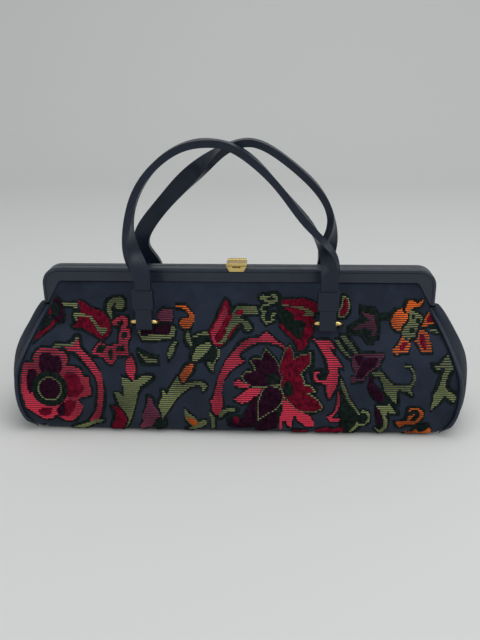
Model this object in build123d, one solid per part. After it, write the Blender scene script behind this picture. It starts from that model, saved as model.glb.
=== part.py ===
"""Tapestry frame handbag in millimetres: +X to its right end, -Y to its front, +Z up, origin under its middle."""

import math
import os

from build123d import *

# Cloth body
BASE_HALF_WIDTH = 140.0
BELLY_HALF_WIDTH = 175.0
BELLY_WIDTH_HEIGHT = 46.0
BASE_HALF_DEPTH = 34.0
BELLY_HALF_DEPTH = 45.0
BELLY_DEPTH_HEIGHT = 28.0
MOUTH_HALF_DEPTH = 7.0
END_BASE_HALF_WIDTH = 168.0
END_BELLY_HALF_WIDTH = 189.8
END_BELLY_HEIGHT = 38.0
END_TOP_BULGE = 7.5
CLOTH = 1.8
SEAM_GAP = 0.1
PANEL_CROWN = 1.5
PULL_IN_HEIGHT = 55.0
CORNER_POWER = 3.0
BASE_POWER = 2.6
SHOULDER_POWER = 1.35
DEPTH_POWER = 1.75
END_POWER = 2.0

# Frame
FRAME_HALF_WIDTH = 158.0
FRAME_TOP = 129.0
FRAME_CORNER = 14.0
BAND_HEIGHT = 10.7
LEG_BOTTOM = 99.5
LEG_TOP_WIDTH = 14.0
LEG_END_WIDTH = 3.4
HALF_THICKNESS = 7.5
HALF_GAP = 0.3
INNER_CORNER = 4.0
RIM_HEIGHT = 2.5
BEAD_RADIUS = 1.6
MEETING_RADIUS = 1.1
GROOVE_WIDTH = 0.7
GROOVE_DEPTH = 0.6
HINGE_HEIGHT = 103.0
RAIL_WALL = 1.2
RAIL_HEIGHT = 5.6
RAIL_THICKNESS = 3.0
RAIL_INSET = 1.9
EYE_RADIUS = 3.7
EYE_THICKNESS = 1.3
EYE_GAP = 0.3
RIVET_RADIUS = 1.3
RIVET_FIT = 0.05
RIVET_HEAD_RADIUS = 2.2
RIVET_HEAD = 0.5
EYE_CLEARANCE = 0.4
OPENING_ANGLE = 45.0
NOTCH_SPARE_ANGLE = 2.0
MOUTH_GAP = 0.25

# Clasp
CLASP_HALF_WIDTH = 8.2
CLASP_BASE_HALF_WIDTH = 7.6
CLASP_PLATE = 1.1
CATCH_FOOT_HALF_WIDTH = 5.5
CATCH_DROP = 2.0
CATCH_RISE = 2.4
CATCH_SLOT_HALF_WIDTH = 3.3
CATCH_SLOT_HEIGHT = 1.3
LEVER_GAP = 0.3
LEVER_THICKNESS = 1.8
EAR_THICKNESS = 1.2
CLASP_PIN_RADIUS = 0.8
CLASP_PIN_FIT = 0.05
CLASP_BARREL_RADIUS = 1.7
CLASP_PIN_INSET = 3.0

# Handles
HANDLE_SPACING = 143.0
STRAP_WIDTH = 13.0
STRAP_THICKNESS = 5.6
TAB_WIDTH = 12.6
TAB_THICKNESS = 6.8
TAB_TAIL = 7.0
STRAP_STRAIGHT_TOP = 119.0
KEEPER_BOTTOM = 103.0
KEEPER_HEIGHT = 15.5
KEEPER_WALL = 1.6
KEEPER_FIT = 0.1
TWIST_LENGTH = 55.0
BACK_LEFT_FLAT_RUN = 88.0
HANDLE_TOP = 226.5
HANDLE_TOP_OFFSET = 7.4
WIRE_RADIUS = 1.7
WIRE_FIT = 0.06
STAPLE_WIDTH = 20.0
STAPLE_INNER_OFFSET = 9.5
STAPLE_CORNER = 3.2
STAPLE_SEAT_HEIGHT = 88.0
STAPLE_STAND_OFF = 8.6
PLATE_MARGIN = 3.0
PLATE_HEIGHT = 9.0
PLATE_THICKNESS = 1.2
PLATE_GAP = 0.2

# Lining, board and piping
LINING_OFFSET = 5.2
LINING = 0.8
LINING_FOLD = 0.6
LINING_FOLD_HEIGHT = 30.0
BOARD_GAP = 0.2
BOARD_THICKNESS = 2.0
BOARD_MARGIN = 4.0
PIPING_RADIUS = 1.5
PIPING_GAP = 0.42
PIPING_TOP_GAP = 0.85
PIPING_RISE_FROM = 66.0
PIPING_RISE_TO = 88.0
PIPING_RUNS = 16
PIPING_BOTTOM = 5.0

# Raised pattern
PILE_HEIGHT = 0.9
PILE_GAP = 0.06
FIELD_EDGE = 2.6
FIELD_BOTTOM = 3.0
FIELD_TOP = 112.0
SMALLEST_FIELD = 2.0
STAPLE_CLEARING = 2.6

# Strap centre lines from the left end to the right end, as (x, z)
FRONT_STRAP_LINE = [
    (-72.5, 130.0),
    (-79.0, 146.0),
    (-81.5, 164.0),
    (-76.5, 187.0),
    (-64.0, 206.5),
    (-47.0, 220.0),
    (-19.0, HANDLE_TOP),
    (1.0, 221.5),
    (15.5, 211.5),
    (44.5, 180.5),
    (60.5, 161.5),
    (70.5, 145.0),
    (72.5, 130.0),
]
BACK_STRAP_LINE = [
    (-76.0, 128.0),
    (-81.0, 143.0),
    (-72.0, 161.5),
    (-53.0, 183.5),
    (-32.0, 203.0),
    (-14.0, 216.5),
    (8.0, HANDLE_TOP - 1.5),
    (30.0, 217.0),
    (48.0, 203.0),
    (66.0, 184.0),
    (74.5, 165.5),
    (75.5, 149.5),
    (73.0, 132.0),
]

MOUTH_HEIGHT = FRAME_TOP - BAND_HEIGHT - MOUTH_GAP
HALF_OUTER = HALF_THICKNESS + HALF_GAP / 2
LEG_INNER_TOP = FRAME_HALF_WIDTH - LEG_TOP_WIDTH
MOUTH_HALF_WIDTH = LEG_INNER_TOP - 1.2
GUSSET_TOP = LEG_BOTTOM - 0.6
OUT = "parts"


def save(name, shape):
    """Write one piece under its own name."""
    shape.label = name
    export_step(shape, f"{OUT}/{name}.step")


def rounded_share(height, full_height, power):
    """How far a rounded base corner has come out at a height, from 0 at the base to 1 at full_height."""
    below = max(0.0, 1.0 - height / full_height)
    return (1.0 - below**power) ** (1.0 / power)


def smooth(share):
    """Ease a 0 to 1 share in and out."""
    share = min(1.0, max(0.0, share))
    return share * share * (3.0 - 2.0 * share)


def seam_half_width(z):
    """Half the width between the side seams at a height."""
    if z < BELLY_WIDTH_HEIGHT:
        out = rounded_share(z, BELLY_WIDTH_HEIGHT, CORNER_POWER)
        return BASE_HALF_WIDTH + (BELLY_HALF_WIDTH - BASE_HALF_WIDTH) * out
    share = (z - BELLY_WIDTH_HEIGHT) / (MOUTH_HEIGHT - BELLY_WIDTH_HEIGHT)
    return BELLY_HALF_WIDTH + (MOUTH_HALF_WIDTH - BELLY_HALF_WIDTH) * share**SHOULDER_POWER


def middle_half_depth(z):
    """Half the depth of the bag at its middle."""
    if z < BELLY_DEPTH_HEIGHT:
        out = rounded_share(z, BELLY_DEPTH_HEIGHT, BASE_POWER)
        return BASE_HALF_DEPTH + (BELLY_HALF_DEPTH - BASE_HALF_DEPTH) * out
    share = (z - BELLY_DEPTH_HEIGHT) / (MOUTH_HEIGHT - BELLY_DEPTH_HEIGHT)
    return BELLY_HALF_DEPTH + (MOUTH_HALF_DEPTH - BELLY_HALF_DEPTH) * share**DEPTH_POWER


def seam_half_depth(z):
    """Half the depth at the side seams, drawn in to the frame's legs towards the top."""
    pull = smooth((z - PULL_IN_HEIGHT) / (LEG_BOTTOM - PULL_IN_HEIGHT))
    edge = middle_half_depth(z) - PANEL_CROWN
    return edge + (min(MOUTH_HALF_DEPTH - 0.5, edge) - edge) * pull


def end_half_width(z):
    """Half the overall width, at the middle of the bulging gussets."""
    if z < END_BELLY_HEIGHT:
        out = rounded_share(z, END_BELLY_HEIGHT, BASE_POWER)
        return END_BASE_HALF_WIDTH + (END_BELLY_HALF_WIDTH - END_BASE_HALF_WIDTH) * out
    top = seam_half_width(GUSSET_TOP) + END_TOP_BULGE
    share = (z - END_BELLY_HEIGHT) / (GUSSET_TOP - END_BELLY_HEIGHT)
    return END_BELLY_HALF_WIDTH + (top - END_BELLY_HALF_WIDTH) * share**END_POWER


def panel_half_depth(x, z):
    """Half the depth of the front or back panel at any place on it."""
    across = x / seam_half_width(z)
    middle = middle_half_depth(z)
    return middle - (middle - seam_half_depth(z)) * across * across


def panel_section(z, inset, side_margin):
    """Outline of the space between the panels at a height, as a face."""
    half_width = seam_half_width(z) + side_margin
    middle = middle_half_depth(z) - inset
    edge = seam_half_depth(z) - inset
    front = ThreePointArc((-half_width, -edge, z), (0, -middle, z), (half_width, -edge, z))
    right = Line((half_width, -edge, z), (half_width, edge, z))
    back = ThreePointArc((half_width, edge, z), (0, middle, z), (-half_width, edge, z))
    left = Line((-half_width, edge, z), (-half_width, -edge, z))
    return make_face([front, right, back, left])


def gusset_section(z, inset, chord):
    """Outline of the bulge at the right end at a height, closed by a straight line at chord, as a face."""
    edge = seam_half_depth(z) - inset
    tip = end_half_width(z) - inset
    bulge = ThreePointArc((chord, -edge, z), (tip, 0, z), (chord, edge, z))
    close = Line((chord, edge, z), (chord, -edge, z))
    return make_face([bulge, close])


def lining_section(z, inset):
    """Outline of the whole inside of the bag at a height, as a face."""
    half_width = seam_half_width(z) - inset / 2
    middle = middle_half_depth(z) - inset
    edge = max(1.2, seam_half_depth(z) - inset)
    bulge = end_half_width(min(z, GUSSET_TOP)) - inset / 2 - half_width
    tip = half_width + LINING_FOLD + (bulge - LINING_FOLD) * smooth((GUSSET_TOP - z) / LINING_FOLD_HEIGHT)
    front = ThreePointArc((-half_width, -edge, z), (0, -middle, z), (half_width, -edge, z))
    right = ThreePointArc((half_width, -edge, z), (tip, 0, z), (half_width, edge, z))
    back = ThreePointArc((half_width, edge, z), (0, middle, z), (-half_width, edge, z))
    left = ThreePointArc((-half_width, edge, z), (-tip, 0, z), (-half_width, -edge, z))
    return make_face([front, right, back, left])


def heights(bottom, top):
    """Section heights from bottom to top, close together where the base corner turns."""
    steps = [0.0, 1.2, 4.0, 9.0, 17.0, 28.0, 42.0, 57.0, 72.0, 86.0, 98.0, 109.0]
    return [bottom] + [z for z in steps if bottom + 0.8 < z < top - 3.0] + [top]


def panel_body(bottom, top, inset, side_margin):
    """Solid of the space between the two panels."""
    return loft([panel_section(z, inset, side_margin) for z in heights(bottom, top)])


def disc(x, z, radius):
    """Round field of the pattern, as a face drawn in (x, z)."""
    return Pos(x, z) * Circle(radius)


def outset(width, points):
    """Field that shows as an edging of one width round the next field."""
    return offset(make_face(Polyline(*points, close=True)), width, kind=Kind.INTERSECTION)


# Pattern of the front as seen from the front, in (x, z): a later field covers what is under it
MOTIFS = [
    # Bud
    ("plum", [(-152.5, 101), (-147.5, 104), (-143.5, 100.5), (-141.5, 88.5), (-143.5, 85.5),
         (-147.5, 85), (-151, 88), (-152.5, 94)]),
    # Bud heart
    ("dark_green", [(-151.5, 98), (-148, 100), (-145, 97.5), (-144.5, 93.5), (-146, 89), (-149, 88.5),
         (-152, 90.5)]),
    # Bud side
    ("crimson", [(-157, 94), (-155, 97), (-153, 94.5), (-152, 90.5), (-154.5, 90), (-156.5, 91.5)]),
    # Bud stem
    ("crimson", [(-150.5, 86), (-148, 86.5), (-148.5, 83.5), (-153, 79.5), (-164, 72), (-166, 70),
         (-166.5, 65.5), (-168.5, 65.5), (-168.5, 70.5), (-165.5, 75.5), (-158.5, 78.5)]),
    # Bud leaf
    ("dark_green", [(-163, 82.5), (-156.5, 86.5), (-151, 85.5), (-152, 82.5), (-158, 79), (-164.5, 77),
         (-167, 79)]),
    # Dashes
    ("olive", [(-143, 99.5), (-130.5, 100), (-129.5, 95.5), (-132, 95), (-133.5, 97.5), (-142, 97)]),
    # Tulip
    ("crimson", [(-129, 102.5), (-124.5, 101), (-119, 97.5), (-113, 95.5), (-108, 94.5),
         (-103.5, 90.5), (-101, 85.5), (-100.5, 81.5), (-103, 77.5), (-107.5, 75.5), (-123, 82),
         (-133, 82.5), (-129.5, 85), (-129, 87.5), (-126.5, 91.5)]),
    # Tulip rib
    ("olive", [(-133.5, 92), (-125, 92.5), (-117, 91), (-109.5, 83.5), (-103.5, 83.5), (-104, 80),
         (-107, 78), (-110.5, 80), (-119, 89.5), (-129.5, 90), (-129, 87), (-132, 88)]),
    # Comma
    ("olive", [(-98.5, 106), (-93.5, 106.5), (-90, 103.5), (-90, 99), (-93, 97), (-97, 97.5),
         (-98, 100), (-96, 102), (-99, 100.5), (-101, 97.5), (-99.5, 90), (-101.5, 90.5),
         (-104.5, 94.5), (-105, 99), (-102.5, 103.5)]),
    # Blossom
    ("coral", [(-100, 87.5), (-97.5, 90), (-93.5, 92), (-87.5, 92), (-86.5, 87), (-88, 83.5),
         (-84.5, 83), (-84, 78.5), (-86, 74.5), (-85, 65.5), (-94.5, 64.5), (-95, 62), (-98.5, 58),
         (-103, 61), (-106, 64), (-114, 65), (-115, 67), (-112.5, 70.5), (-109, 74), (-105.5, 73),
         (-103.5, 71.5), (-96.5, 72.5), (-93.5, 73.5), (-94, 77.5), (-92, 85), (-96.5, 86), (-99, 85.5)]),
    # Blossom heart
    ("dark_green", [(-95.5, 87.5), (-91.5, 89.5), (-90, 87.5), (-91.5, 85), (-94.5, 85)]),
    ("dark_green", [(-90.5, 81.5), (-87, 81), (-87, 78), (-89.5, 76.5), (-92, 78)]),
    ("dark_green", [(-95, 70.5), (-89, 72.5), (-88, 68), (-95, 67.5)]),
    ("dark_green", [(-111.5, 69), (-107.5, 72.5), (-103.5, 70.5), (-105.5, 67.5), (-111, 67)]),
    ("dark_green", [(-101.5, 67.5), (-99.5, 69.5), (-97.5, 67), (-98, 62.5), (-100, 62.5)]),
    # Scroll
    ("coral", [(-128, 75), (-126, 72.5), (-125, 69.5), (-119, 65.5), (-112.5, 60), (-108, 54),
         (-105.5, 46.5), (-105, 38), (-106.5, 27), (-108.5, 18), (-111, 12), (-116, 10),
         (-119.5, 10.5), (-112.5, 20), (-109.5, 36), (-109.5, 42.5), (-111.5, 49.5), (-116.5, 56),
         (-122.5, 62), (-128, 66), (-134.5, 67), (-138, 69), (-131.5, 70.5), (-129.5, 72)]),
    # Scroll edge
    ("olive", [(-128.5, 77), (-126.5, 75.5), (-131.5, 70.5), (-148.5, 68), (-145.5, 71), (-141.5, 72),
         (-133.5, 72), (-130.5, 73.5)]),
    # Rosette
    ("coral", [(-162.5, 63), (-160.5, 66.5), (-156, 69), (-149, 69), (-137.5, 66.5), (-134, 62),
         (-135, 57.5), (-125, 56), (-122.5, 53), (-122.5, 50), (-117, 49), (-116.5, 42.5), (-115, 38),
         (-116, 34), (-126.5, 30.5), (-123.5, 25.5), (-124, 20), (-128.5, 14), (-132.5, 10),
         (-139.5, 10.5), (-146, 15.5), (-150, 11.5), (-154.5, 11), (-160, 13.5), (-170, 21.5),
         (-171, 28.5), (-173, 36), (-170, 59), (-165.5, 58), (-162, 59)]),
    # Rosette top petal
    ("plum", [(-157.5, 63), (-154.5, 65.5), (-150, 65.5), (-146.5, 63.5), (-141.5, 63.5), (-139, 59.5),
         (-138.5, 54), (-142.5, 49.5), (-154.5, 51.5), (-157, 56.5)]),
    # Rosette left petal
    ("plum", [(-165.5, 53.5), (-161.5, 54.5), (-158.5, 52), (-161.5, 44.5), (-162.5, 38),
         (-165.5, 34.5), (-167.5, 39.5), (-167.5, 46.5)]),
    # Rosette right petal
    ("crimson", [(-135.5, 51.5), (-128.5, 51.5), (-124.5, 48), (-124, 43.5), (-121, 40), (-123, 36.5),
         (-127, 33), (-134, 32), (-137, 38.5), (-134.5, 45), (-137, 48.5)]),
    # Rosette low petal
    ("crimson", [(-137.5, 27.5), (-133, 30), (-129, 28), (-129.5, 23.5), (-132.5, 18), (-136, 14.5),
         (-139.5, 15.5)]),
    # Rosette low shade
    ("plum", [(-145, 20.5), (-141, 25), (-138, 27.5), (-137.5, 21), (-139.5, 15), (-144, 15)]),
    # Rosette low left
    ("crimson", [(-160, 20), (-155, 22.5), (-149, 21.5), (-149.5, 17), (-155, 14.5), (-159.5, 16.5)]),
    # Rosette ring
    ("dark_green", disc(-149, 38.5, 14.6)),
    # Rosette edge
    ("olive", disc(-149, 38.5, 10.3)),
    # Rosette eye
    ("plum", disc(-149, 38.5, 8.45)),
    # Ground line
    ("olive", [(-162.5, 5), (-156.5, 4), (-149, -2), (-134, 3), (-114.5, 11.5), (-108.5, 12.5),
         (-106.5, 11.5), (-108.5, 9.5), (-115.5, 7.5), (-124, 2.5), (-132.5, -3.5), (-149, -4.5),
         (-161.5, -3.5)]),
    # Low petal
    ("crimson", [(-98.5, 25), (-93.5, 24), (-90, 18.5), (-88, 12), (-94, -2), (-105.5, -2.5),
         (-97.5, 12), (-96.5, 18.5)]),
    # Flame
    ("coral", [(-86.5, 61.5), (-83, 65.5), (-80, 61), (-79, 55), (-81, 46.5), (-84.5, 50), (-87, 53.5)]),
    # Thistle
    ("olive", [(-91, 51.5), (-89, 48.5), (-85.5, 48.5), (-82.5, 46), (-77.5, 48), (-73.5, 51),
         (-68, 51.5), (-66, 49.5), (-75.5, 41.5), (-77.5, 37), (-79.5, 28), (-82.5, 18), (-86.5, 9),
         (-90, 4), (-86.5, 13), (-88, 17.5), (-93, 25.5), (-96.5, 36.5), (-92.5, 36.5), (-89, 33.5),
         (-90, 46)]),
    # Bud low
    ("mauve", [(-69.5, 34), (-66.5, 31.5), (-65, 25.5), (-61.5, 20.5), (-61, 16), (-64.5, 13),
         (-67.5, 6.5), (-72, 5), (-76.5, 2), (-78.5, 5), (-74.5, 12.5), (-75, 17.5), (-70.5, 28)]),
    # Low leaf
    ("dark_green", [(-61, 13), (-56.5, 15), (-55, 9), (-58, 4.5), (-64.5, 2.5), (-66.5, 6.5)]),
    # Square
    ("olive", [(-81.5, 96.5), (-77.5, 97), (-76, 79.5), (-63.5, 80.5), (-53.5, 80), (-52, 82),
         (-51, 88), (-47.5, 85), (-49, 79), (-53.5, 77.5), (-62.5, 76.5), (-74.5, 76), (-78, 81),
         (-79, 91.5)]),
    # Square ground
    ("plum", [(-76, 85.5), (-60, 87), (-51, 88.5), (-52.5, 82), (-54, 80), (-63.5, 80.5), (-75.5, 80)]),
    # Square dashes
    ("mauve", [(-62.5, 95.5), (-57.5, 99), (-50.5, 98.5), (-50, 93.5), (-51, 89.5), (-62, 90)]),
    # Hook
    ("orange", [(-48.5, 102), (-40.5, 102), (-33, 95), (-33.5, 90.5), (-36, 86), (-40, 85),
         (-44, 86.5), (-45, 90), (-42, 92.5), (-38, 92.5), (-37, 95), (-40, 98), (-43.5, 99.5),
         (-47.5, 99.5)]),
    # Dark leaf
    ("dark_green", [(-78.5, 70), (-67, 65.5), (-60.5, 65), (-60.5, 60), (-72, 59.5), (-75.5, 63.5)]),
    # Dark leaf rib
    ("olive", [(-77, 68), (-71.5, 65), (-61, 62.5), (-62, 60.5), (-70.5, 60.5), (-74, 63.5)]),
    # Small leaf
    ("olive", [(-49, 75.5), (-46.5, 75.5), (-48, 72), (-49, 67.5), (-53, 62.5), (-53.5, 67), (-52.5, 71)]),
    # Orange bud
    ("orange", [(-33, 61), (-33, 58), (-34.5, 53.5), (-38.5, 49), (-41, 45), (-43, 47), (-44, 51.5),
         (-41.5, 55.5), (-38, 59)]),
    # Forked leaf
    ("olive", [(-46, 51), (-42, 43), (-38.5, 45.5), (-34, 46.5), (-25.5, 46.5), (-22, 43.5), (-23, 41),
         (-26, 38.5), (-26.5, 41), (-25, 42.5), (-28.5, 43.5), (-34, 43), (-42.5, 36.5), (-47, 32),
         (-59, 14), (-59.5, 18.5), (-61.5, 25), (-60, 31), (-58, 33.5), (-58, 40), (-54.5, 36)]),
    # Low orange leaf
    ("olive", [(-41, 24), (-37, 19.5), (-32.5, 16), (-30, 11), (-26, 13.5), (-23, 13), (-23, 10),
         (-26.5, 6.5), (-33, 4), (-41, 3.5), (-34.5, 6.5), (-39, 11), (-41, 16.5)]),
    # Low orange heart
    ("orange", [(-39.5, 16.5), (-34.5, 15), (-30.5, 12), (-31.5, 8.5), (-35, 7), (-38, 11.5)]),
    # Cluster stem
    ("olive", [(-38.5, 84), (-36, 81), (-35.5, 77), (-33.5, 74), (-34, 72.5), (-36.5, 74), (-39, 77.5),
         (-39.5, 80)]),
    # Cluster edge
    ("olive", [(-35.5, 79), (-29, 82.5), (-23, 83.5), (-21, 82.5), (-21.5, 81), (-28.5, 81),
         (-31.5, 79), (-34.5, 78.5)]),
    # Cluster leaf
    ("olive", [(-30.5, 73), (-21, 76.5), (-19, 74), (-22, 69.5), (-25.5, 65.5), (-30, 62.5),
         (-34, 62.5), (-33.5, 66.5)]),
    # Cluster shade
    ("dark_green", [(-33, 78), (-28, 80.5), (-20.5, 81), (-20, 78), (-23, 76), (-28, 74.5), (-32, 75)]),
    # Cluster end
    ("olive", [(-15, 72.5), (-12, 71.5), (-12.5, 66), (-15.5, 62), (-17, 58.5), (-17, 54.5),
         (-19, 55.5), (-23, 62), (-19.5, 63.5), (-18, 61), (-14.5, 66)]),
    # Cluster low shade
    ("dark_green", [(-18.5, 72.5), (-14.5, 71.5), (-14.5, 66.5), (-18, 61), (-21.5, 62.5), (-22.5, 66),
         (-19.5, 69.5)]),
    # Lily
    ("crimson", [(-8.5, 106), (-6, 103.5), (-5, 99.5), (-5.5, 94.5), (-0.5, 96.5), (3, 94.5),
         (2.5, 89.5), (-4.5, 80), (-8.5, 75.5), (-12, 73), (-17, 74.5), (-20, 78.5), (-21, 84),
         (-16.5, 90)]),
    # Lily light
    ("coral", [(-9, 102), (-6.5, 99), (-6.5, 94.5), (-9.5, 91.5), (-11.5, 86.5), (-15, 82.5),
         (-16.5, 78.5), (-15, 76), (-10.5, 76), (-11.5, 75), (-17, 75), (-19, 78.5), (-19.5, 83.5),
         (-10, 99.5)]),
    # Lily stem
    ("olive", [(16.5, 101), (17.5, 95.5), (6.5, 95.5), (2.5, 94.5), (4.5, 92.5), (9, 91.5),
         (13.5, 86.5), (9.5, 83.5), (7, 86), (5.5, 89), (2.5, 89.5), (-0.5, 87.5), (-5.5, 81),
         (-8.5, 76), (-12, 74.5), (-15.5, 74.5), (-10, 79), (-7.5, 83), (-8.5, 87), (-6.5, 87.5),
         (-5, 91), (-3, 93.5), (-3, 97), (0, 100.5), (2.5, 102)]),
    # Lily knot
    ("crimson", [(0.5, 98), (6, 99), (5.5, 96), (2.5, 95), (-1.5, 95)]),
    # Arc
    ("coral", [(24, 83.5), (27, 82), (33, 77), (37.5, 74.5), (40, 71), (33, 74.5), (25.5, 76),
         (18, 76), (12, 74), (4, 69), (2.5, 66.5), (4.5, 64.5), (8, 63), (-2, 57), (-8.5, 49),
         (-10, 44.5), (-10.5, 37.5), (-10, 28), (-11.5, 21.5), (-14.5, 17.5), (-18.5, 22.5),
         (-19, 28.5), (-20.5, 31), (-17.5, 33.5), (-13.5, 50), (-7.5, 63), (3, 74), (7.5, 77.5),
         (13.5, 79.5), (19.5, 80), (21, 82)]),
    # Arc foot
    ("olive", [(-10.5, 23.5), (-3.5, 26), (2.5, 23.5), (-7, 21), (-12.5, 15.5), (-14, 17)]),
    # Arc stem
    ("olive", [(-20.5, 21.5), (-16.5, 16), (-16.5, 5), (-20, 4.5)]),
    # Figure
    ("olive", [(18, 108.5), (22, 109.5), (25, 108), (29.5, 110.5), (32.5, 108.5), (33, 104.5),
         (25, 101.5), (21.5, 101), (20.5, 99), (24.5, 97.5), (32.5, 97), (31, 95), (28, 93.5),
         (31.5, 91.5), (23.5, 88.5), (19.5, 93), (20.5, 96.5), (18.5, 99), (20.5, 102), (25, 103.5),
         (19, 106.5)]),
    # Figure heart
    ("dark_green", [(24, 107), (28, 108), (30.5, 106.5), (28, 105), (25, 105.5)]),
    # Figure low heart
    ("dark_green", [(23.5, 96.5), (28.5, 96.5), (26.5, 94), (28.5, 92.5), (24.5, 91), (22.5, 93)]),
    # Great leaf
    ("crimson", [(35.5, 103), (37.5, 106), (53.5, 106.5), (60, 105), (64.5, 102.5), (67, 98), (63, 97),
         (56.5, 96.5), (60, 94), (63, 89.5), (65.5, 87.5), (61.5, 85), (60, 81.5), (57, 79),
         (56.5, 75), (52.5, 71), (48.5, 71), (49, 75), (51.5, 76.5), (53.5, 85.5), (55.5, 89.5),
         (50.5, 91.5), (45.5, 92), (44.5, 94.5), (47, 95.5), (38.5, 99.5)]),
    # Great leaf tail
    ("crimson", [(34, 88.5), (35.5, 90), (40, 86), (51, 79), (51, 77), (48.5, 74), (45, 79), (39, 83)]),
    # Great leaf shade
    ("dark_green", [(34.5, 100), (40, 97), (45.5, 95), (45.5, 92), (50.5, 92), (55.5, 89.5),
         (52.5, 82.5), (52, 78), (48, 79), (35.5, 89.5), (34, 94.5)]),
    # Great leaf rib
    ("olive", [(36.5, 102.5), (52, 101.5), (58.5, 99), (63.5, 95), (53, 94.5), (53.5, 96.5),
         (56.5, 96.5), (52, 99), (47.5, 99.5), (47, 100.5), (37, 101)]),
    # Plum petals
    ("olive", outset(1.3, [(24, 70.5), (31, 64), (33.5, 59.5), (34, 54.5), (37, 51.5), (35, 46),
         (23, 44), (14, 44), (8.5, 47), (6, 51), (9, 54), (17, 55.5), (16, 58.5), (13, 62.5),
         (16.5, 64.5), (21, 62.5), (22, 67)])),
    ("plum", [(24, 70.5), (31, 64), (33.5, 59.5), (34, 54.5), (37, 51.5), (35, 46), (23, 44), (14, 44),
         (8.5, 47), (6, 51), (9, 54), (17, 55.5), (16, 58.5), (13, 62.5), (16.5, 64.5), (21, 62.5),
         (22, 67)]),
    # Crimson petals
    ("olive", outset(1.3, [(42.5, 73), (45, 69), (45.5, 63.5), (51, 66.5), (58.5, 68), (58, 61),
         (50.5, 54), (53.5, 48.5), (53, 45), (59, 43.5), (62, 40.5), (55.5, 38), (60, 36),
         (65.5, 31.5), (68.5, 26), (62.5, 23), (55, 23), (48, 25.5), (41, 34.5), (38.5, 35.5),
         (36.5, 44.5), (37.5, 51.5), (35, 55.5), (35.5, 59.5), (39.5, 70.5)])),
    ("crimson", [(42.5, 73), (45, 69), (45.5, 63.5), (51, 66.5), (58.5, 68), (58, 61), (50.5, 54),
         (53.5, 48.5), (53, 45), (59, 43.5), (62, 40.5), (55.5, 38), (60, 36), (65.5, 31.5),
         (68.5, 26), (62.5, 23), (55, 23), (48, 25.5), (41, 34.5), (38.5, 35.5), (36.5, 44.5),
         (37.5, 51.5), (35, 55.5), (35.5, 59.5), (39.5, 70.5)]),
    # Low plum petal
    ("olive", outset(1.2, [(26, 43.5), (32, 43), (36, 40.5), (37.5, 36), (36, 30.5), (31.5, 25),
         (26, 21.5), (19, 16), (18.5, 28.5), (20, 35), (22.5, 40.5)])),
    ("plum", [(26, 43.5), (32, 43), (36, 40.5), (37.5, 36), (36, 30.5), (31.5, 25), (26, 21.5),
         (19, 16), (18.5, 28.5), (20, 35), (22.5, 40.5)]),
    # Flower heart
    ("dark_green", [(38.5, 47), (43, 48), (45.5, 42.5), (45.5, 37), (41.5, 35.5), (39, 37), (37.5, 41.5)]),
    ("dark_green", [(25.5, 53.5), (31.5, 54), (35.5, 49), (33.5, 46), (25, 45.5)]),
    # Left petal
    ("coral", [(-1, 47), (3, 49), (6, 47), (12.5, 44), (9.5, 42.5), (4.5, 42.5), (-0.5, 44)]),
    # Left low petal
    ("coral", [(11, 42), (21.5, 42), (19, 37.5), (15.5, 33.5), (5.5, 29), (-1.5, 32.5)]),
    # Low coral petal
    ("coral", [(38, 34), (43.5, 30), (48, 24.5), (59.5, 19), (62.5, 12.5), (62, 8), (56, 9), (50, 14),
         (47.5, 18.5), (46, 18.5), (45, 7.5), (41.5, 8.5), (40, 14.5), (37.5, 13.5), (37, 5.5),
         (35, 4), (35, 15.5), (37.5, 24.5)]),
    # Low leaf left
    ("plum", [(15.5, 36.5), (18, 32.5), (17.5, 15), (15.5, 9), (8.5, 6.5), (0.5, 6.5), (-4, 9.5),
         (-4.5, 13.5), (-0.5, 16), (3, 13), (7, 17), (12.5, 32.5)]),
    # Low leaf heart
    ("crimson", [(-1.5, 16.5), (1.5, 18), (3, 15), (2.5, 11), (-1, 12)]),
    # Low leaf right
    ("plum", [(19, 14), (32.5, 24), (34, 15.5), (33, 7.5), (21.5, 3.5), (16, 5)]),
    # Base patch
    ("crimson", [(64, 5), (72, 7.5), (80, 6.5), (86, 9), (86.5, 3), (65, 2.5)]),
    ("crimson", [(45.5, 5), (58, 4.5), (58, 1.5), (45.5, -1.5)]),
    # Right scroll
    ("coral", [(57.5, 80.5), (61.5, 78.5), (73, 78), (76, 75.5), (78.5, 71.5), (73.5, 72.5), (85, 58),
         (79.5, 59), (81, 54), (80.5, 48.5), (79, 43), (74, 33.5), (72, 38.5), (71.5, 46), (65.5, 47),
         (62.5, 48.5), (61, 52.5), (62, 55.5), (66.5, 56.5), (66.5, 54.5), (63.5, 52.5), (65.5, 49),
         (71, 49), (73.5, 55), (72.5, 61), (70.5, 66.5), (63.5, 76.5)]),
    # Thin hook
    ("coral", [(80.5, 40.5), (82.5, 37), (83, 30.5), (80.5, 23.5), (77, 17.5), (84, 16), (82.5, 13.5),
         (75.5, 14), (72.5, 18), (78, 22), (80, 29)]),
    # Bud right
    ("olive", outset(1.6, [(85.5, 107), (87.5, 106), (88.5, 102.5), (88, 98), (85, 94.5), (82, 94.5),
         (82, 97.5), (84, 100)])),
    ("crimson", [(85.5, 107), (87.5, 106), (88.5, 102.5), (88, 98), (85, 94.5), (82, 94.5), (82, 97.5),
         (84, 100)]),
    # Shaded leaf
    ("dark_green", [(97.5, 101), (102, 99.5), (109.5, 99), (112, 95), (112.5, 92.5), (115.5, 94),
         (120.5, 94), (123, 92), (121, 91), (117.5, 92), (113.5, 91), (113, 83.5), (111.5, 78),
         (107, 78), (106.5, 75), (104, 77), (101.5, 81), (96.5, 82), (93.5, 81.5), (90.5, 82.5),
         (89.5, 85), (98, 90), (100.5, 92.5), (98, 97)]),
    # Shaded leaf light
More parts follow.
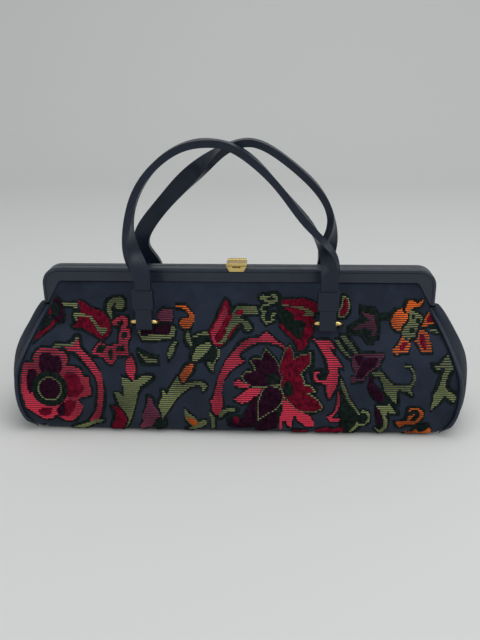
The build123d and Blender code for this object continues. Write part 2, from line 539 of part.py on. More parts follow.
    ("mauve", [(99, 97), (109.5, 93.5), (111.5, 83), (109.5, 79), (106.5, 80), (107.5, 83), (102, 85),
         (96.5, 84), (91, 84.5), (96, 87.5), (106, 90.5), (100.5, 94)]),
    # Twin stem
    ("olive", [(82, 81), (86.5, 80.5), (96.5, 68.5), (93, 68.5), (82.5, 79)]),
    ("olive", [(78, 78.5), (81, 78), (83.5, 73.5), (87.5, 69.5), (90.5, 65.5), (88, 66), (84, 69.5),
         (78.5, 76)]),
    # Twin stem shade
    ("dark_green", [(81.5, 78.5), (92.5, 68), (90.5, 66.5), (84, 74.5)]),
    # Star
    ("mauve", [(89.5, 67), (99, 68.5), (117, 68), (116, 65.5), (113.5, 63), (112.5, 59.5), (105.5, 56),
         (102, 52), (100.5, 49), (91, 47.5), (90.5, 51.5), (94, 52), (94, 56.5), (91.5, 58.5), (91, 64)]),
    # Star heart
    ("plum", [(94, 67.5), (98.5, 67.5), (101, 64.5), (112, 65.5), (109, 59.5), (102.5, 56), (101, 52),
         (97.5, 51), (94.5, 51.5), (95.5, 56), (98, 59.5), (95, 62), (93.5, 65.5)]),
    # Vine
    ("olive", [(106.5, 56), (113.5, 56.5), (120.5, 48.5), (124.5, 45.5), (136, 46), (137.5, 47.5),
         (139, 50.5), (138.5, 55), (136, 59), (132, 59.5), (133, 60.5), (138, 59.5), (140, 55.5),
         (141, 51), (139.5, 46.5), (137, 43.5), (139, 37), (134.5, 40), (130.5, 41), (127.5, 42.5),
         (126.5, 39.5), (127, 30), (123.5, 32.5), (121, 36.5), (116.5, 40.5), (115.5, 47), (112.5, 52),
         (107.5, 53)]),
    # Vine foot
    ("olive", [(110.5, 29), (119, 29), (120.5, 31), (125.5, 25), (127.5, 21.5), (124.5, 21.5),
         (120.5, 23), (119, 19.5), (121, 15), (121, 8.5), (118, 3.5), (114.5, 2), (111, 8.5),
         (112, 8.5), (115, 5.5), (118, 9), (117.5, 16), (115, 22)]),
    # Pear leaf
    ("dark_green", [(83, 43.5), (85.5, 36.5), (96.5, 21), (97, 14.5), (90.5, 3), (85.5, 8), (83, 17)]),
    # Pear leaf rib
    ("olive", [(82, 52), (84.5, 49), (91, 33), (99, 22), (98, 19), (88, 33.5), (84.5, 40), (82.5, 46.5)]),
    # Curl
    ("olive", [(98.5, 23), (100.5, 25), (105, 24), (107, 20.5), (106.5, 14.5), (102.5, 10.5),
         (98, 10.5), (96.5, 7), (93, 3), (90, 1.5), (94.5, 9), (97, 14.5), (98.5, 12.5), (103, 12.5),
         (105.5, 17.5), (102.5, 22)]),
    # Curl heart
    ("dark_green", [(99.5, 21), (103, 21), (104, 18), (102.5, 14), (99, 13.5), (98, 18)]),
    # Plum leaf
    ("plum", [(105, 52.5), (108, 52.5), (107.5, 48.5), (110, 44), (114, 40.5), (117, 37), (117.5, 34),
         (113.5, 31.5), (108.5, 35), (105.5, 39), (103.5, 44.5)]),
    # Plum leaf foot
    ("plum", [(109.5, 28), (114, 24.5), (116.5, 13), (114.5, 7.5), (112.5, 14)]),
    # Orange flower
    ("orange", [(128.5, 97.5), (131.5, 98), (132.5, 95), (136.5, 93.5), (136.5, 90.5), (131.5, 85),
         (130, 81.5), (126.5, 82.5), (123.5, 85.5), (122.5, 89), (125, 94)]),
    ("orange", [(136.5, 104), (141, 103.5), (143.5, 101.5), (148, 104), (149, 103), (146, 99),
         (142, 98.5), (138, 96.5), (137.5, 93.5), (134, 95.5)]),
    ("orange", [(154, 98), (159, 98.5), (162.5, 93), (163.5, 89.5), (161, 86), (145.5, 83.5),
         (149, 86), (150, 89.5), (152.5, 93.5)]),
    ("orange", [(131, 79), (134, 76.5), (138, 74.5), (135.5, 68.5), (130.5, 68.5), (126, 67),
         (123.5, 68.5), (123.5, 70.5), (128.5, 75)]),
    ("orange", [(145, 83), (150, 81.5), (153, 78.5), (154, 68.5), (146.5, 68), (142, 74.5), (140, 75),
         (144, 77.5)]),
    # Orange flower shade
    ("crimson", [(153, 91.5), (156.5, 93), (159, 90), (157.5, 87), (151.5, 87)]),
    ("crimson", [(146, 80), (149, 78.5), (149.5, 70), (146.5, 71), (145, 75)]),
    ("crimson", [(132, 75.5), (135, 74), (132.5, 71), (129, 69.5), (128.5, 71.5)]),
    # Orange flower eye
    ("olive", [(138, 97), (148.5, 91.5), (148, 88), (144.5, 85), (141.5, 78), (136.5, 76.5), (132, 78),
         (131, 81.5), (137, 88.5), (138, 92.5)]),
    # Orange flower eye dot
    ("dark_green", [(138, 83), (141, 83.5), (141.5, 81), (139, 80), (137, 81)]),
    ("dark_green", [(143.5, 89.5), (145.5, 90), (146.5, 87.5), (144.5, 86), (143, 87.5)]),
    ("dark_green", [(139.5, 93.5), (142, 92.5), (141.5, 90), (139.5, 90.5)]),
    # Orange flower tip
    ("olive", [(154.5, 101.5), (157.5, 101), (158.5, 98), (154.5, 98)]),
    # Bar
    ("olive", [(154.5, 82.5), (164.5, 82.5), (168.5, 79.5), (161.5, 79.5), (154.5, 80.5)]),
    # Right vine
    ("olive", [(169.5, 75), (171, 72.5), (171, 68.5), (173, 64), (175, 53.5), (171.5, 56.5),
         (170, 58.5), (166, 55), (164.5, 50.5), (163.5, 44.5), (166.5, 41.5), (176.5, 34.5),
         (174.5, 31), (170.5, 31.5), (167, 35), (163, 37.5), (161, 33), (153.5, 24.5), (153.5, 29),
         (155, 33), (154.5, 38), (158, 43), (161.5, 54.5), (163.5, 58.5), (161.5, 58.5), (157.5, 57),
         (153.5, 60.5), (159, 60.5), (162, 63.5), (165.5, 66)]),
    # Orange hook
    ("orange", [(136.5, 23.5), (137.5, 27), (143, 27.5), (148.5, 23.5), (148.5, 19), (145, 14),
         (141, 11), (136, 12), (131.5, 9), (128.5, 10), (127, 15), (132.5, 14.5), (136, 16),
         (136.5, 20), (141.5, 22), (141, 19), (138, 15), (142.5, 15.5), (146, 20), (145, 24.5),
         (140, 25)]),
    # Base orange
    ("orange", [(132.5, 3), (140.5, 3.5), (143.5, 7.5), (147, 3.5), (151, 5), (154.5, 9.5), (156, 6),
         (156.5, -2), (134, -3)]),
    # Base leaf
    ("dark_green", [(144.5, 11.5), (154.5, 13), (152.5, 8), (147.5, 7.5)]),
]


def cloth_outline():
    """The part of a panel that can carry the pattern, as a face drawn in (x, z)."""
    steps = 24
    levels = [FIELD_BOTTOM + (FIELD_TOP - FIELD_BOTTOM) * i / steps for i in range(steps + 1)]
    right = [(seam_half_width(z) - FIELD_EDGE, z) for z in levels]
    left = [(-x, z) for x, z in reversed(right)]
    face = make_face(Polyline(*(right + left), close=True))
    for sign in (-1, 1):
        for end in (-1, 1):
            x = staple_frame(sign).origin.X + end * STAPLE_WIDTH / 2
            face = face - Pos(x, STAPLE_SEAT_HEIGHT) * Circle(STAPLE_CLEARING)
    return face


def boxes_meet(one, other):
    """Whether the bounding boxes of two flat faces overlap."""
    a, b = one.bounding_box(), other.bounding_box()
    apart = a.max.X < b.min.X or b.max.X < a.min.X or a.max.Y < b.min.Y or b.max.Y < a.min.Y
    return not apart


def paint_fields():
    """Faces of each colour once every later field has covered the earlier ones."""
    cloth = cloth_outline()
    fields = {}
    for colour, outline in MOTIFS:
        face = make_face(Polyline(*outline, close=True)) if isinstance(outline, list) else outline
        fresh = Sketch() + face & cloth
        for other, pieces in fields.items():
            kept = []
            for piece in pieces:
                if not boxes_meet(piece, fresh):
                    kept.append(piece)
                elif other == colour:
                    fresh = fresh + piece
                else:
                    kept.extend((Sketch() + piece - fresh).faces())
            fields[other] = kept
        fields.setdefault(colour, []).extend(fresh.faces())
    return {
        colour: [face for face in faces if face.area > SMALLEST_FIELD] for colour, faces in fields.items()
    }


def make_front_fields():
    """Thin raised solids of each colour on the front panel."""
    sheet = upright(cloth_outline(), -2 * BELLY_HALF_DEPTH, -0.1)
    outside = panel_body(0.0, MOUTH_HEIGHT, -PILE_HEIGHT, 0.0)
    inside = panel_body(0.0, MOUTH_HEIGHT, -PILE_GAP, 0.0)
    layer = (outside & sheet) - inside
    solids = {}
    for colour, faces in paint_fields().items():
        prisms = [upright(face, -2 * BELLY_HALF_DEPTH, -0.1) for face in faces]
        solids[colour] = Part() + [layer & prism for prism in prisms]
    return solids


def make_tapestry():
    """One length of cloth up the front, under the base and up the back, open at the sides and top."""
    outside = panel_body(0.0, MOUTH_HEIGHT, 0.0, 0.0)
    inside = panel_body(CLOTH, MOUTH_HEIGHT + 1.0, CLOTH, 3.0)
    shell = outside - inside
    for plane_side in (-1, 1):
        for sign in (-1, 1):
            for leg in staple_legs(sign, plane_side):
                shell = shell - leg
    return shell


def make_gusset(sign):
    """Bulging cloth end, with its own share of the base."""
    outer = [gusset_section(z, 0.0, seam_half_width(z) + SEAM_GAP) for z in heights(0.0, GUSSET_TOP)]
    inner = [
        gusset_section(z, CLOTH, seam_half_width(z) - 2.0) for z in heights(CLOTH, GUSSET_TOP + 1.0)
    ]
    shell = loft(outer) - loft(inner)
    return shell if sign > 0 else mirror(shell, about=Plane.YZ)


def make_lining():
    """Thin bag inside the body, standing on the bottom board."""
    floor = CLOTH + 2 * BOARD_GAP + BOARD_THICKNESS
    outer = [lining_section(z, LINING_OFFSET) for z in heights(floor, MOUTH_HEIGHT)]
    inner = [
        lining_section(z, LINING_OFFSET + LINING) for z in heights(floor + LINING, MOUTH_HEIGHT + 1.0)
    ]
    return loft(outer) - loft(inner)


def make_board():
    """Stiff board on the cloth of the base."""
    length = 2 * (BASE_HALF_WIDTH - BOARD_MARGIN)
    depth = 2 * (BASE_HALF_DEPTH - BOARD_MARGIN)
    outline = RectangleRounded(length, depth, 12.0)
    return Pos(0, 0, CLOTH + BOARD_GAP) * extrude(outline, BOARD_THICKNESS)


def seam_point(z):
    """Middle of the piping beside the front right seam at a height, standing off both cloths alike."""
    edge = seam_half_depth(z)
    step = 0.5
    run_x = seam_half_width(z + step) - seam_half_width(z - step)
    run_y = -seam_half_depth(z + step) + seam_half_depth(z - step)
    along = Vector(run_x, run_y, 2 * step).normalized()
    turn = math.atan2(end_half_width(z) - seam_half_width(z), edge) * 2.0
    panel_out = Vector(1, 0, 0).cross(along).normalized()
    gusset_out = Vector(math.sin(turn), math.cos(turn), 0).cross(along).normalized()
    outward = (panel_out + gusset_out).normalized()
    seam = Vector(seam_half_width(z), -edge, z)
    rise = smooth((z - PIPING_RISE_FROM) / (PIPING_RISE_TO - PIPING_RISE_FROM))
    gap = PIPING_GAP + (PIPING_TOP_GAP - PIPING_GAP) * rise
    return seam + outward * (PIPING_RADIUS + gap)


def corner_radii(points):
    """Largest arcs that the runs of a path leave room for, one for each inner point."""
    radii = []
    for before, here, after in zip(points, points[1:], points[2:]):
        run_in = Vector(*here) - Vector(*before)
        run_out = Vector(*after) - Vector(*here)
        half_turn = math.radians(run_in.get_angle(run_out)) / 2
        radii.append(0.45 * min(run_in.length, run_out.length) / math.tan(half_turn))
    return radii


def make_piping(sign_x, sign_y):
    """Round leather piping down one side seam."""
    top = GUSSET_TOP - PIPING_RADIUS
    levels = [PIPING_BOTTOM + (top - PIPING_BOTTOM) * (i / PIPING_RUNS) ** 1.3 for i in range(PIPING_RUNS + 1)]
    points = [seam_point(z) for z in reversed(levels)]
    path = FilletPolyline(points, radius=corner_radii(points))
    run = sweep((path ^ 0) * Circle(PIPING_RADIUS), path=path)
    if sign_x < 0:
        run = mirror(run, about=Plane.YZ)
    if sign_y > 0:
        run = mirror(run, about=Plane.XZ)
    return run


def frame_outline(inset):
    """The inverted U of a frame half seen from the front, drawn in by an inset all round the outside."""
    half = FRAME_HALF_WIDTH - inset
    top = FRAME_TOP - inset
    leg_end = FRAME_HALF_WIDTH - LEG_END_WIDTH
    band = FRAME_TOP - BAND_HEIGHT
    points = [
        (-half, LEG_BOTTOM),
        (-half, top),
        (half, top),
        (half, LEG_BOTTOM),
        (leg_end, LEG_BOTTOM),
        (LEG_INNER_TOP, band),
        (-LEG_INNER_TOP, band),
        (-leg_end, LEG_BOTTOM),
    ]
    face = make_face(Polyline(*points, close=True))
    tops = [v for v in face.vertices() if v.Y > top - 0.1]
    face = fillet(tops, FRAME_CORNER - inset)
    inner = [v for v in face.vertices() if abs(v.Y - band) < 0.1 and abs(abs(v.X) - LEG_INNER_TOP) < 0.1]
    return fillet(inner, INNER_CORNER)


def upright(face, y_from, y_to):
    """Turn an outline drawn as (x, z) upright and give it its depth from y_from to y_to."""
    return Pos(0, y_to, 0) * extrude(Rot(90, 0, 0) * face, y_to - y_from, dir=(0, -1, 0))


def hinge_cylinder(radius, x_from, x_to):
    """Cylinder on the hinge line of the right leg."""
    centre = (x_from + x_to) / 2
    return Pos(centre, 0, HINGE_HEIGHT) * Rot(0, 90, 0) * Cylinder(radius, x_to - x_from)


def eye_span(side):
    """Where a rail's eye lies along X: the front half's is outside the back half's."""
    outer = FRAME_HALF_WIDTH - RAIL_WALL
    if side > 0:
        outer = outer - EYE_THICKNESS - EYE_GAP
    return outer - EYE_THICKNESS, outer


def rail_outline(side):
    """The steel strip of a frame half seen from the front, with straight legs down to its eyes."""
    inner, outer = eye_span(side)
    top = FRAME_TOP - RAIL_WALL
    half = FRAME_HALF_WIDTH - RAIL_WALL
    points = [
        (-outer, HINGE_HEIGHT),
        (-outer, HINGE_HEIGHT + 7.0),
        (-half, HINGE_HEIGHT + 9.0),
        (-half, top),
        (half, top),
        (half, HINGE_HEIGHT + 9.0),
        (outer, HINGE_HEIGHT + 7.0),
        (outer, HINGE_HEIGHT),
        (inner, HINGE_HEIGHT),
        (inner, HINGE_HEIGHT + 9.0),
        (LEG_INNER_TOP + 4.0, top - RAIL_HEIGHT),
        (-LEG_INNER_TOP - 4.0, top - RAIL_HEIGHT),
        (-inner, HINGE_HEIGHT + 9.0),
        (-inner, HINGE_HEIGHT),
    ]
    face = make_face(Polyline(*points, close=True))
    corners = [v for v in face.vertices() if v.Y > top - 0.1]
    return fillet(corners, FRAME_CORNER - RAIL_WALL)


def make_rail(side):
    """Steel strip of one frame half with an eye round each hinge rivet."""
    near = HALF_GAP / 2 + RAIL_INSET
    strip = upright(rail_outline(side), near, near + RAIL_THICKNESS)
    inner, outer = eye_span(side)
    eye = hinge_cylinder(EYE_RADIUS, inner, outer)
    neck = Pos((inner + outer) / 2, near / 2 + RAIL_THICKNESS / 2, HINGE_HEIGHT + 2.0)
    eye = eye + neck * Box(outer - inner, near + RAIL_THICKNESS - 1.0, 4.0)
    eye = eye - hinge_cylinder(RIVET_RADIUS + RIVET_FIT, inner - 1, outer + 1)
    hole = hinge_cylinder(RIVET_RADIUS + RIVET_FIT, inner - 1, outer + 1)
    rail = (strip - hole) + eye
    rail = rail - mirror(hole, about=Plane.YZ) + mirror(eye, about=Plane.YZ)
    return rail if side > 0 else mirror(rail, about=Plane.XZ)


def make_notch():
    """Wedge under the right hinge that the leg ends keep clear of as the frame opens."""
    bottom = LEG_BOTTOM - 1.0
    half = (HINGE_HEIGHT - bottom) * math.tan(math.radians(OPENING_ANGLE + NOTCH_SPARE_ANGLE))
    wedge = make_face(Polyline((0, HINGE_HEIGHT), (half, bottom), (-half, bottom), close=True))
    start = LEG_INNER_TOP - 3
    return Pos(start, 0, 0) * extrude(Plane.YZ * wedge, FRAME_HALF_WIDTH + 1 - start)


def make_frame_leather(side, rail):
    """Leather cover of one frame half, grooved under its rim and hollow where the rail lies."""
    near = HALF_GAP / 2
    cover = upright(frame_outline(0.0), near, near + HALF_THICKNESS)
    face_edge = cover.edges().filter_by(lambda e: e.center().Y > HALF_OUTER - 0.01)
    cover = fillet(face_edge.filter_by(lambda e: e.center().Z > FRAME_TOP - RIM_HEIGHT), BEAD_RADIUS)
    meeting_edge = cover.edges().filter_by(lambda e: e.center().Y < near + 0.01)
    cover = fillet(meeting_edge.filter_by(lambda e: e.center().Z > FRAME_TOP - RIM_HEIGHT), MEETING_RADIUS)
    ring = frame_outline(RIM_HEIGHT) - frame_outline(RIM_HEIGHT + GROOVE_WIDTH)
    cover = cover - upright(ring, HALF_OUTER - GROOVE_DEPTH, HALF_OUTER + 1)
    room = hinge_cylinder(EYE_RADIUS + EYE_CLEARANCE, LEG_INNER_TOP - 3, FRAME_HALF_WIDTH + 1) + make_notch()
    cover = cover - room - mirror(room, about=Plane.YZ)
    if side < 0:
        cover = mirror(cover, about=Plane.XZ)
    return cover - rail


def make_rivet(sign):
    """Headed hinge rivet through both eyes of one end."""
    inner, _ = eye_span(1)
    _, outer = eye_span(-1)
    shank = hinge_cylinder(RIVET_RADIUS, inner - EYE_GAP / 2, outer + EYE_GAP / 2)
    head_in = hinge_cylinder(RIVET_HEAD_RADIUS, inner - EYE_GAP / 2 - RIVET_HEAD, inner - EYE_GAP / 2)
    head_out = hinge_cylinder(RIVET_HEAD_RADIUS, outer + EYE_GAP / 2, outer + EYE_GAP / 2 + RIVET_HEAD)
    rivet = shank + head_in + head_out
    return rivet if sign > 0 else mirror(rivet, about=Plane.YZ)


def clasp_pin_place():
    """Centre of the clasp pin over the back frame half."""
    z = FRAME_TOP + CATCH_RISE + LEVER_GAP + LEVER_THICKNESS / 2
    return HALF_OUTER - CLASP_PIN_INSET, z


def clasp_rod(radius, half_length):
    """Cylinder on the clasp's pin line."""
    y, z = clasp_pin_place()
    return Pos(0, y, z) * Rot(0, 90, 0) * Cylinder(radius, 2 * half_length)


def make_clasp_base():
    """Brass plate on the back half with two upright ears."""
    y, z = clasp_pin_place()
    near = HALF_GAP / 2 + 0.6
    depth = HALF_OUTER - near
    plate = Pos(0, near + depth / 2, FRAME_TOP + CLASP_PLATE / 2)
    base = plate * Box(2 * CLASP_BASE_HALF_WIDTH, depth, CLASP_PLATE)
    for sign in (-1, 1):
        x = sign * (CLASP_BASE_HALF_WIDTH - EAR_THICKNESS / 2)
        base = base + Pos(x, y, (FRAME_TOP + z) / 2) * Box(EAR_THICKNESS, 2 * 1.5, z - FRAME_TOP)
        base = base + Pos(x, y, z) * Rot(0, 90, 0) * Cylinder(1.5, EAR_THICKNESS)
    return base - clasp_rod(CLASP_PIN_RADIUS, CLASP_BASE_HALF_WIDTH + 1)


def make_clasp_lever():
    """Brass lift lever: a plate over both rims with a barrel round the pin."""
    y, z = clasp_pin_place()
    bottom = z - LEVER_THICKNESS / 2
    barrel_half = CLASP_BASE_HALF_WIDTH - EAR_THICKNESS - 0.2
    front = -HALF_OUTER - CLASP_PLATE / 2
    wide_from = y - 2.4
    outline = [
        (-CLASP_HALF_WIDTH, front),
        (CLASP_HALF_WIDTH, front),
        (CLASP_HALF_WIDTH, wide_from),
        (-CLASP_HALF_WIDTH, wide_from),
    ]
    plate = extrude(make_face(Polyline(*outline, close=True)), LEVER_THICKNESS)
    plate = Pos(0, 0, bottom) * plate
    top = plate.edges().filter_by(lambda e: e.center().Z > bottom + LEVER_THICKNESS - 0.01)
    plate = fillet(top, 0.7)
    neck = Pos(0, (wide_from - 1 + y) / 2, z) * Box(2 * barrel_half, y - wide_from + 1, LEVER_THICKNESS)
    lever = plate + neck + clasp_rod(CLASP_BARREL_RADIUS, barrel_half)
    return lever - clasp_rod(CLASP_PIN_RADIUS + CLASP_PIN_FIT, barrel_half + 1)


def make_clasp_catch():
    """Brass catch on the front half: a plate on the rim and a slotted wall down its face."""
    wall_top = FRAME_TOP + CATCH_RISE
    wall_bottom = FRAME_TOP - CATCH_DROP
    outline = [
        (-CATCH_FOOT_HALF_WIDTH, wall_bottom),
        (CATCH_FOOT_HALF_WIDTH, wall_bottom),
        (CLASP_HALF_WIDTH, wall_top),
        (-CLASP_HALF_WIDTH, wall_top),
    ]
    near = HALF_OUTER + 0.05
    wall = upright(make_face(Polyline(*outline, close=True)), -near - CLASP_PLATE, -near)
    slot_z = wall_top - CATCH_SLOT_HEIGHT / 2 - 0.2
    slot = Pos(0, -near, slot_z) * Box(2 * CATCH_SLOT_HALF_WIDTH, 5, CATCH_SLOT_HEIGHT)
    foot_depth = HALF_THICKNESS - 1.0
    foot = Pos(0, -near + foot_depth / 2, FRAME_TOP + CLASP_PLATE / 2 + 0.02)
    return wall - slot + foot * Box(2 * CATCH_FOOT_HALF_WIDTH, foot_depth + 0.2, CLASP_PLATE)


def panel_normal(x):
    """Outward direction of the front panel at the staples, as (y, z)."""
    step = 0.5
    rise = panel_half_depth(x, STAPLE_SEAT_HEIGHT + step) - panel_half_depth(x, STAPLE_SEAT_HEIGHT - step)
    slope = rise / (2 * step)
    length = math.hypot(1.0, slope)
    return -1.0 / length, -slope / length


def bar_place():
    """Centre of the front staples' bars, as (y, z)."""
    x = HANDLE_SPACING / 2 - STAPLE_INNER_OFFSET + STAPLE_WIDTH / 2
    ny, nz = panel_normal(x)
    y = -panel_half_depth(x, STAPLE_SEAT_HEIGHT) + STAPLE_STAND_OFF * ny
    return y, STAPLE_SEAT_HEIGHT + STAPLE_STAND_OFF * nz


def staple_frame(sign):
    """Plane of a front staple: x along its bar, y out of the panel, centred on the panel's face."""
    x = HANDLE_SPACING / 2 - STAPLE_INNER_OFFSET + STAPLE_WIDTH / 2
    ny, nz = panel_normal(x)
    seat = (sign * x, -panel_half_depth(x, STAPLE_SEAT_HEIGHT), STAPLE_SEAT_HEIGHT)
    return Plane(origin=seat, x_dir=(1, 0, 0), z_dir=(0, -nz, ny))


def to_side(shape, side):
    """Keep a front piece, or mirror it to the back."""
    return shape if side < 0 else mirror(shape, about=Plane.XZ)


def staple_legs(sign, side):
    """The two straight stretches where a staple passes through the cloth, a little fatter than the wire."""
    plane = staple_frame(sign)
    legs = []
    for end in (-1, 1):
        where = plane.location * Pos(end * STAPLE_WIDTH / 2, 0, 0) * Rot(90, 0, 0)
        legs.append(to_side(where * Cylinder(WIRE_RADIUS + WIRE_FIT, 16.0), side))
    return legs


def staple_depth():
    """How far a staple's legs reach inside the panel's face."""
    return CLOTH + PLATE_GAP + PLATE_THICKNESS


def make_staple(sign, side):
    """Brass wire bridge that a handle tab turns on."""
    half = STAPLE_WIDTH / 2
    inside = -staple_depth()
    plane = staple_frame(sign)
    points = [(-half, inside), (-half, STAPLE_STAND_OFF), (half, STAPLE_STAND_OFF), (half, inside)]
    path = FilletPolyline([plane.from_local_coords(Vector(a, b, 0)) for a, b in points], radius=STAPLE_CORNER)
    wire = sweep((path ^ 0) * Circle(WIRE_RADIUS), path=path)
    return to_side(wire, side)


def make_plate(sign, side):
    """Steel plate inside the cloth that holds a staple's ends, lying along the panel."""
    x = staple_frame(sign).origin.X
    step = 1.0
    across = panel_half_depth(x + step, STAPLE_SEAT_HEIGHT) - panel_half_depth(x - step, STAPLE_SEAT_HEIGHT)
    upward = panel_half_depth(x, STAPLE_SEAT_HEIGHT + step) - panel_half_depth(x, STAPLE_SEAT_HEIGHT - step)
    along = Vector(2 * step, -across, 0)
    outward = Vector(-across, -2 * step, -upward).normalized()
    seat = Vector(x, -panel_half_depth(x, STAPLE_SEAT_HEIGHT), STAPLE_SEAT_HEIGHT)
    plane = Plane(origin=seat - outward * (CLOTH + PLATE_GAP + PLATE_THICKNESS / 2), x_dir=along, z_dir=outward)
    length = STAPLE_WIDTH + 2 * (WIRE_RADIUS + PLATE_MARGIN)
    plate = to_side(plane.location * Box(length, PLATE_HEIGHT, PLATE_THICKNESS), side)
    for leg in staple_legs(sign, side):
        plate = plate - leg
    return plate


def strap_lean(z):
    """Distance of the front strap's centre in front of the bag's middle at a height."""
    bar_y, _ = bar_place()
    share = (z - STRAP_STRAIGHT_TOP) / (HANDLE_TOP - STRAP_STRAIGHT_TOP)
    share = min(1.0, max(0.0, share))
    return bar_y + (-HANDLE_TOP_OFFSET - bar_y) * share


def strap_points(line):
    """Centre line of a front strap in space, from the top of one straight end to the other."""
    half = HANDLE_SPACING / 2
    flat = [(-half, STRAP_STRAIGHT_TOP)] + line + [(half, STRAP_STRAIGHT_TOP)]
    return [Vector(x, strap_lean(z), z) for x, z in flat]


def strap_sections(points, left_flat_run):
    """Rectangles across the strap, flat to the front at its ends and edge-on over the top."""
    lengths = [0.0]
    for before, after in zip(points, points[1:]):
        lengths.append(lengths[-1] + (after - before).length)
    out = Vector(0, -1, 0)
    faces = []
    for index, point in enumerate(points):
        if index in (0, len(points) - 1):
            along = Vector(0, 0, 1) if index == 0 else Vector(0, 0, -1)
        else:
            along = (points[index + 1] - points[index - 1]).normalized()
        from_flat = min(lengths[index] - left_flat_run, lengths[-1] - lengths[index])
        twist = 90.0 * smooth(from_flat / TWIST_LENGTH)
        across = along.cross(out).normalized()
        plane = Plane(origin=point, x_dir=across, z_dir=along)
        faces.append(plane * Rot(0, 0, twist) * Rectangle(STRAP_WIDTH, STRAP_THICKNESS))
    return faces


def make_tab(sign):
    """End of a strap, doubled round the staple's bar."""
    bar_y, bar_z = bar_place()
    x = sign * HANDLE_SPACING / 2
    bottom = bar_z - TAB_TAIL
    height = KEEPER_BOTTOM + 0.4 - bottom
    tab = Pos(x, bar_y, bottom + height / 2) * Box(TAB_WIDTH, TAB_THICKNESS, height)
    rise = STRAP_STRAIGHT_TOP - KEEPER_BOTTOM
    tab = tab + Pos(x, bar_y, KEEPER_BOTTOM + rise / 2) * Box(STRAP_WIDTH, STRAP_THICKNESS, rise)
    lower = tab.edges().filter_by(Axis.X).filter_by(lambda e: e.center().Z < bottom + 0.1)
    tab = fillet(lower, TAB_THICKNESS / 2 - 0.2)
    bore = Pos(x, bar_y, bar_z) * Rot(0, 90, 0) * Cylinder(WIRE_RADIUS + WIRE_FIT, TAB_WIDTH + 2)
    return tab - bore


def make_strap(line, side):
    """Leather handle strap with a tab at each end; the back one stays flat further up its left."""
    flat_run = 0.0 if side < 0 else BACK_LEFT_FLAT_RUN
    strap = loft(strap_sections(strap_points(line), flat_run))
    for sign in (-1, 1):
        strap = strap + make_tab(sign)
    return to_side(strap, side)


def make_keeper(sign, side):
    """Leather band round a strap just above its tab."""
    bar_y, _ = bar_place()
    x = sign * HANDLE_SPACING / 2
    inner_width = STRAP_WIDTH + 2 * KEEPER_FIT
    inner_depth = TAB_THICKNESS + 2 * KEEPER_FIT
    where = Pos(x, bar_y, KEEPER_BOTTOM + KEEPER_HEIGHT / 2 + 0.6)
    band = Box(inner_width + 2 * KEEPER_WALL, inner_depth + 2 * KEEPER_WALL - 1.6, KEEPER_HEIGHT - 0.6)
    band = fillet(band.edges().filter_by(Axis.Z), 1.2)
    hole = Box(inner_width, STRAP_THICKNESS + 2 * KEEPER_FIT, KEEPER_HEIGHT + 4)
    return to_side(where * (band - hole), side)


def main():
    """Make every piece and write it."""
    os.makedirs(OUT, exist_ok=True)
    for colour, field in make_front_fields().items():
        save(f"front_{colour}_pattern", field)
        save(f"back_{colour}_pattern", Rot(0, 0, 180) * field)
    save("tapestry", make_tapestry())
    save("lining", make_lining())
    save("bottom_board", make_board())
    for side, face in ((-1, "front"), (1, "back")):
        rail = make_rail(side)
        save(f"{face}_rail", rail)
        save(f"{face}_frame_leather", make_frame_leather(side, rail))
        line = FRONT_STRAP_LINE if side < 0 else BACK_STRAP_LINE
        save(f"{face}_handle_strap", make_strap(line, side))
        for sign, end in ((-1, "left"), (1, "right")):
            save(f"{face}_{end}_piping", make_piping(sign, side))
            save(f"{face}_{end}_staple", make_staple(sign, side))
            save(f"{face}_{end}_plate", make_plate(sign, side))
            save(f"{face}_{end}_keeper", make_keeper(sign, side))
    for sign, end in ((-1, "left"), (1, "right")):
        save(f"{end}_gusset", make_gusset(sign))
        save(f"{end}_hinge_rivet", make_rivet(sign))
    save("clasp_base", make_clasp_base())
    save("clasp_pin", clasp_rod(CLASP_PIN_RADIUS, CLASP_BASE_HALF_WIDTH))
    save("clasp_lever", make_clasp_lever())
    save("clasp_catch", make_clasp_catch())


main()
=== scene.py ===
"""Look of a long frame handbag in flower-pattern pile tapestry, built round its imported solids."""

import math

import bmesh
import bpy
import numpy as np
from mathutils import Matrix, Vector
from mathutils.bvhtree import BVHTree


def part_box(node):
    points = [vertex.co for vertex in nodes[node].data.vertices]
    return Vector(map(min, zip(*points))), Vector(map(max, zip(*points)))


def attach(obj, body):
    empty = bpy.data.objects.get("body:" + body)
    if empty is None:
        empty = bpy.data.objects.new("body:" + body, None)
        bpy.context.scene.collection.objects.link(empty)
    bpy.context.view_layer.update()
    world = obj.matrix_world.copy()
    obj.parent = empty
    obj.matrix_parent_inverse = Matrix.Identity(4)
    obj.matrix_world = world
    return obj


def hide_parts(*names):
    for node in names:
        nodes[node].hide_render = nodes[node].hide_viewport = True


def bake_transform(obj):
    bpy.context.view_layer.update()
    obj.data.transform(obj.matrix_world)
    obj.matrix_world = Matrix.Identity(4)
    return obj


MM = 0.001
SIDES = ("front", "back")
PILE_COLOURS = ("crimson", "plum", "dark_green")
LOOP_COLOURS = ("coral", "olive", "orange", "mauve")

# Panel grid
PANEL_COLUMNS = 150
PANEL_STEP = 1.6 * MM
CLOTH_THICKNESS = 1.4 * MM
GUSSET_THICKNESS = 0.9 * MM
MOUTH_DROP = 0.1 * MM
PANEL_EDGE = 0.3 * MM
LEG_TUCK = 2.6 * MM
LEG_TUCK_START = 0.0985

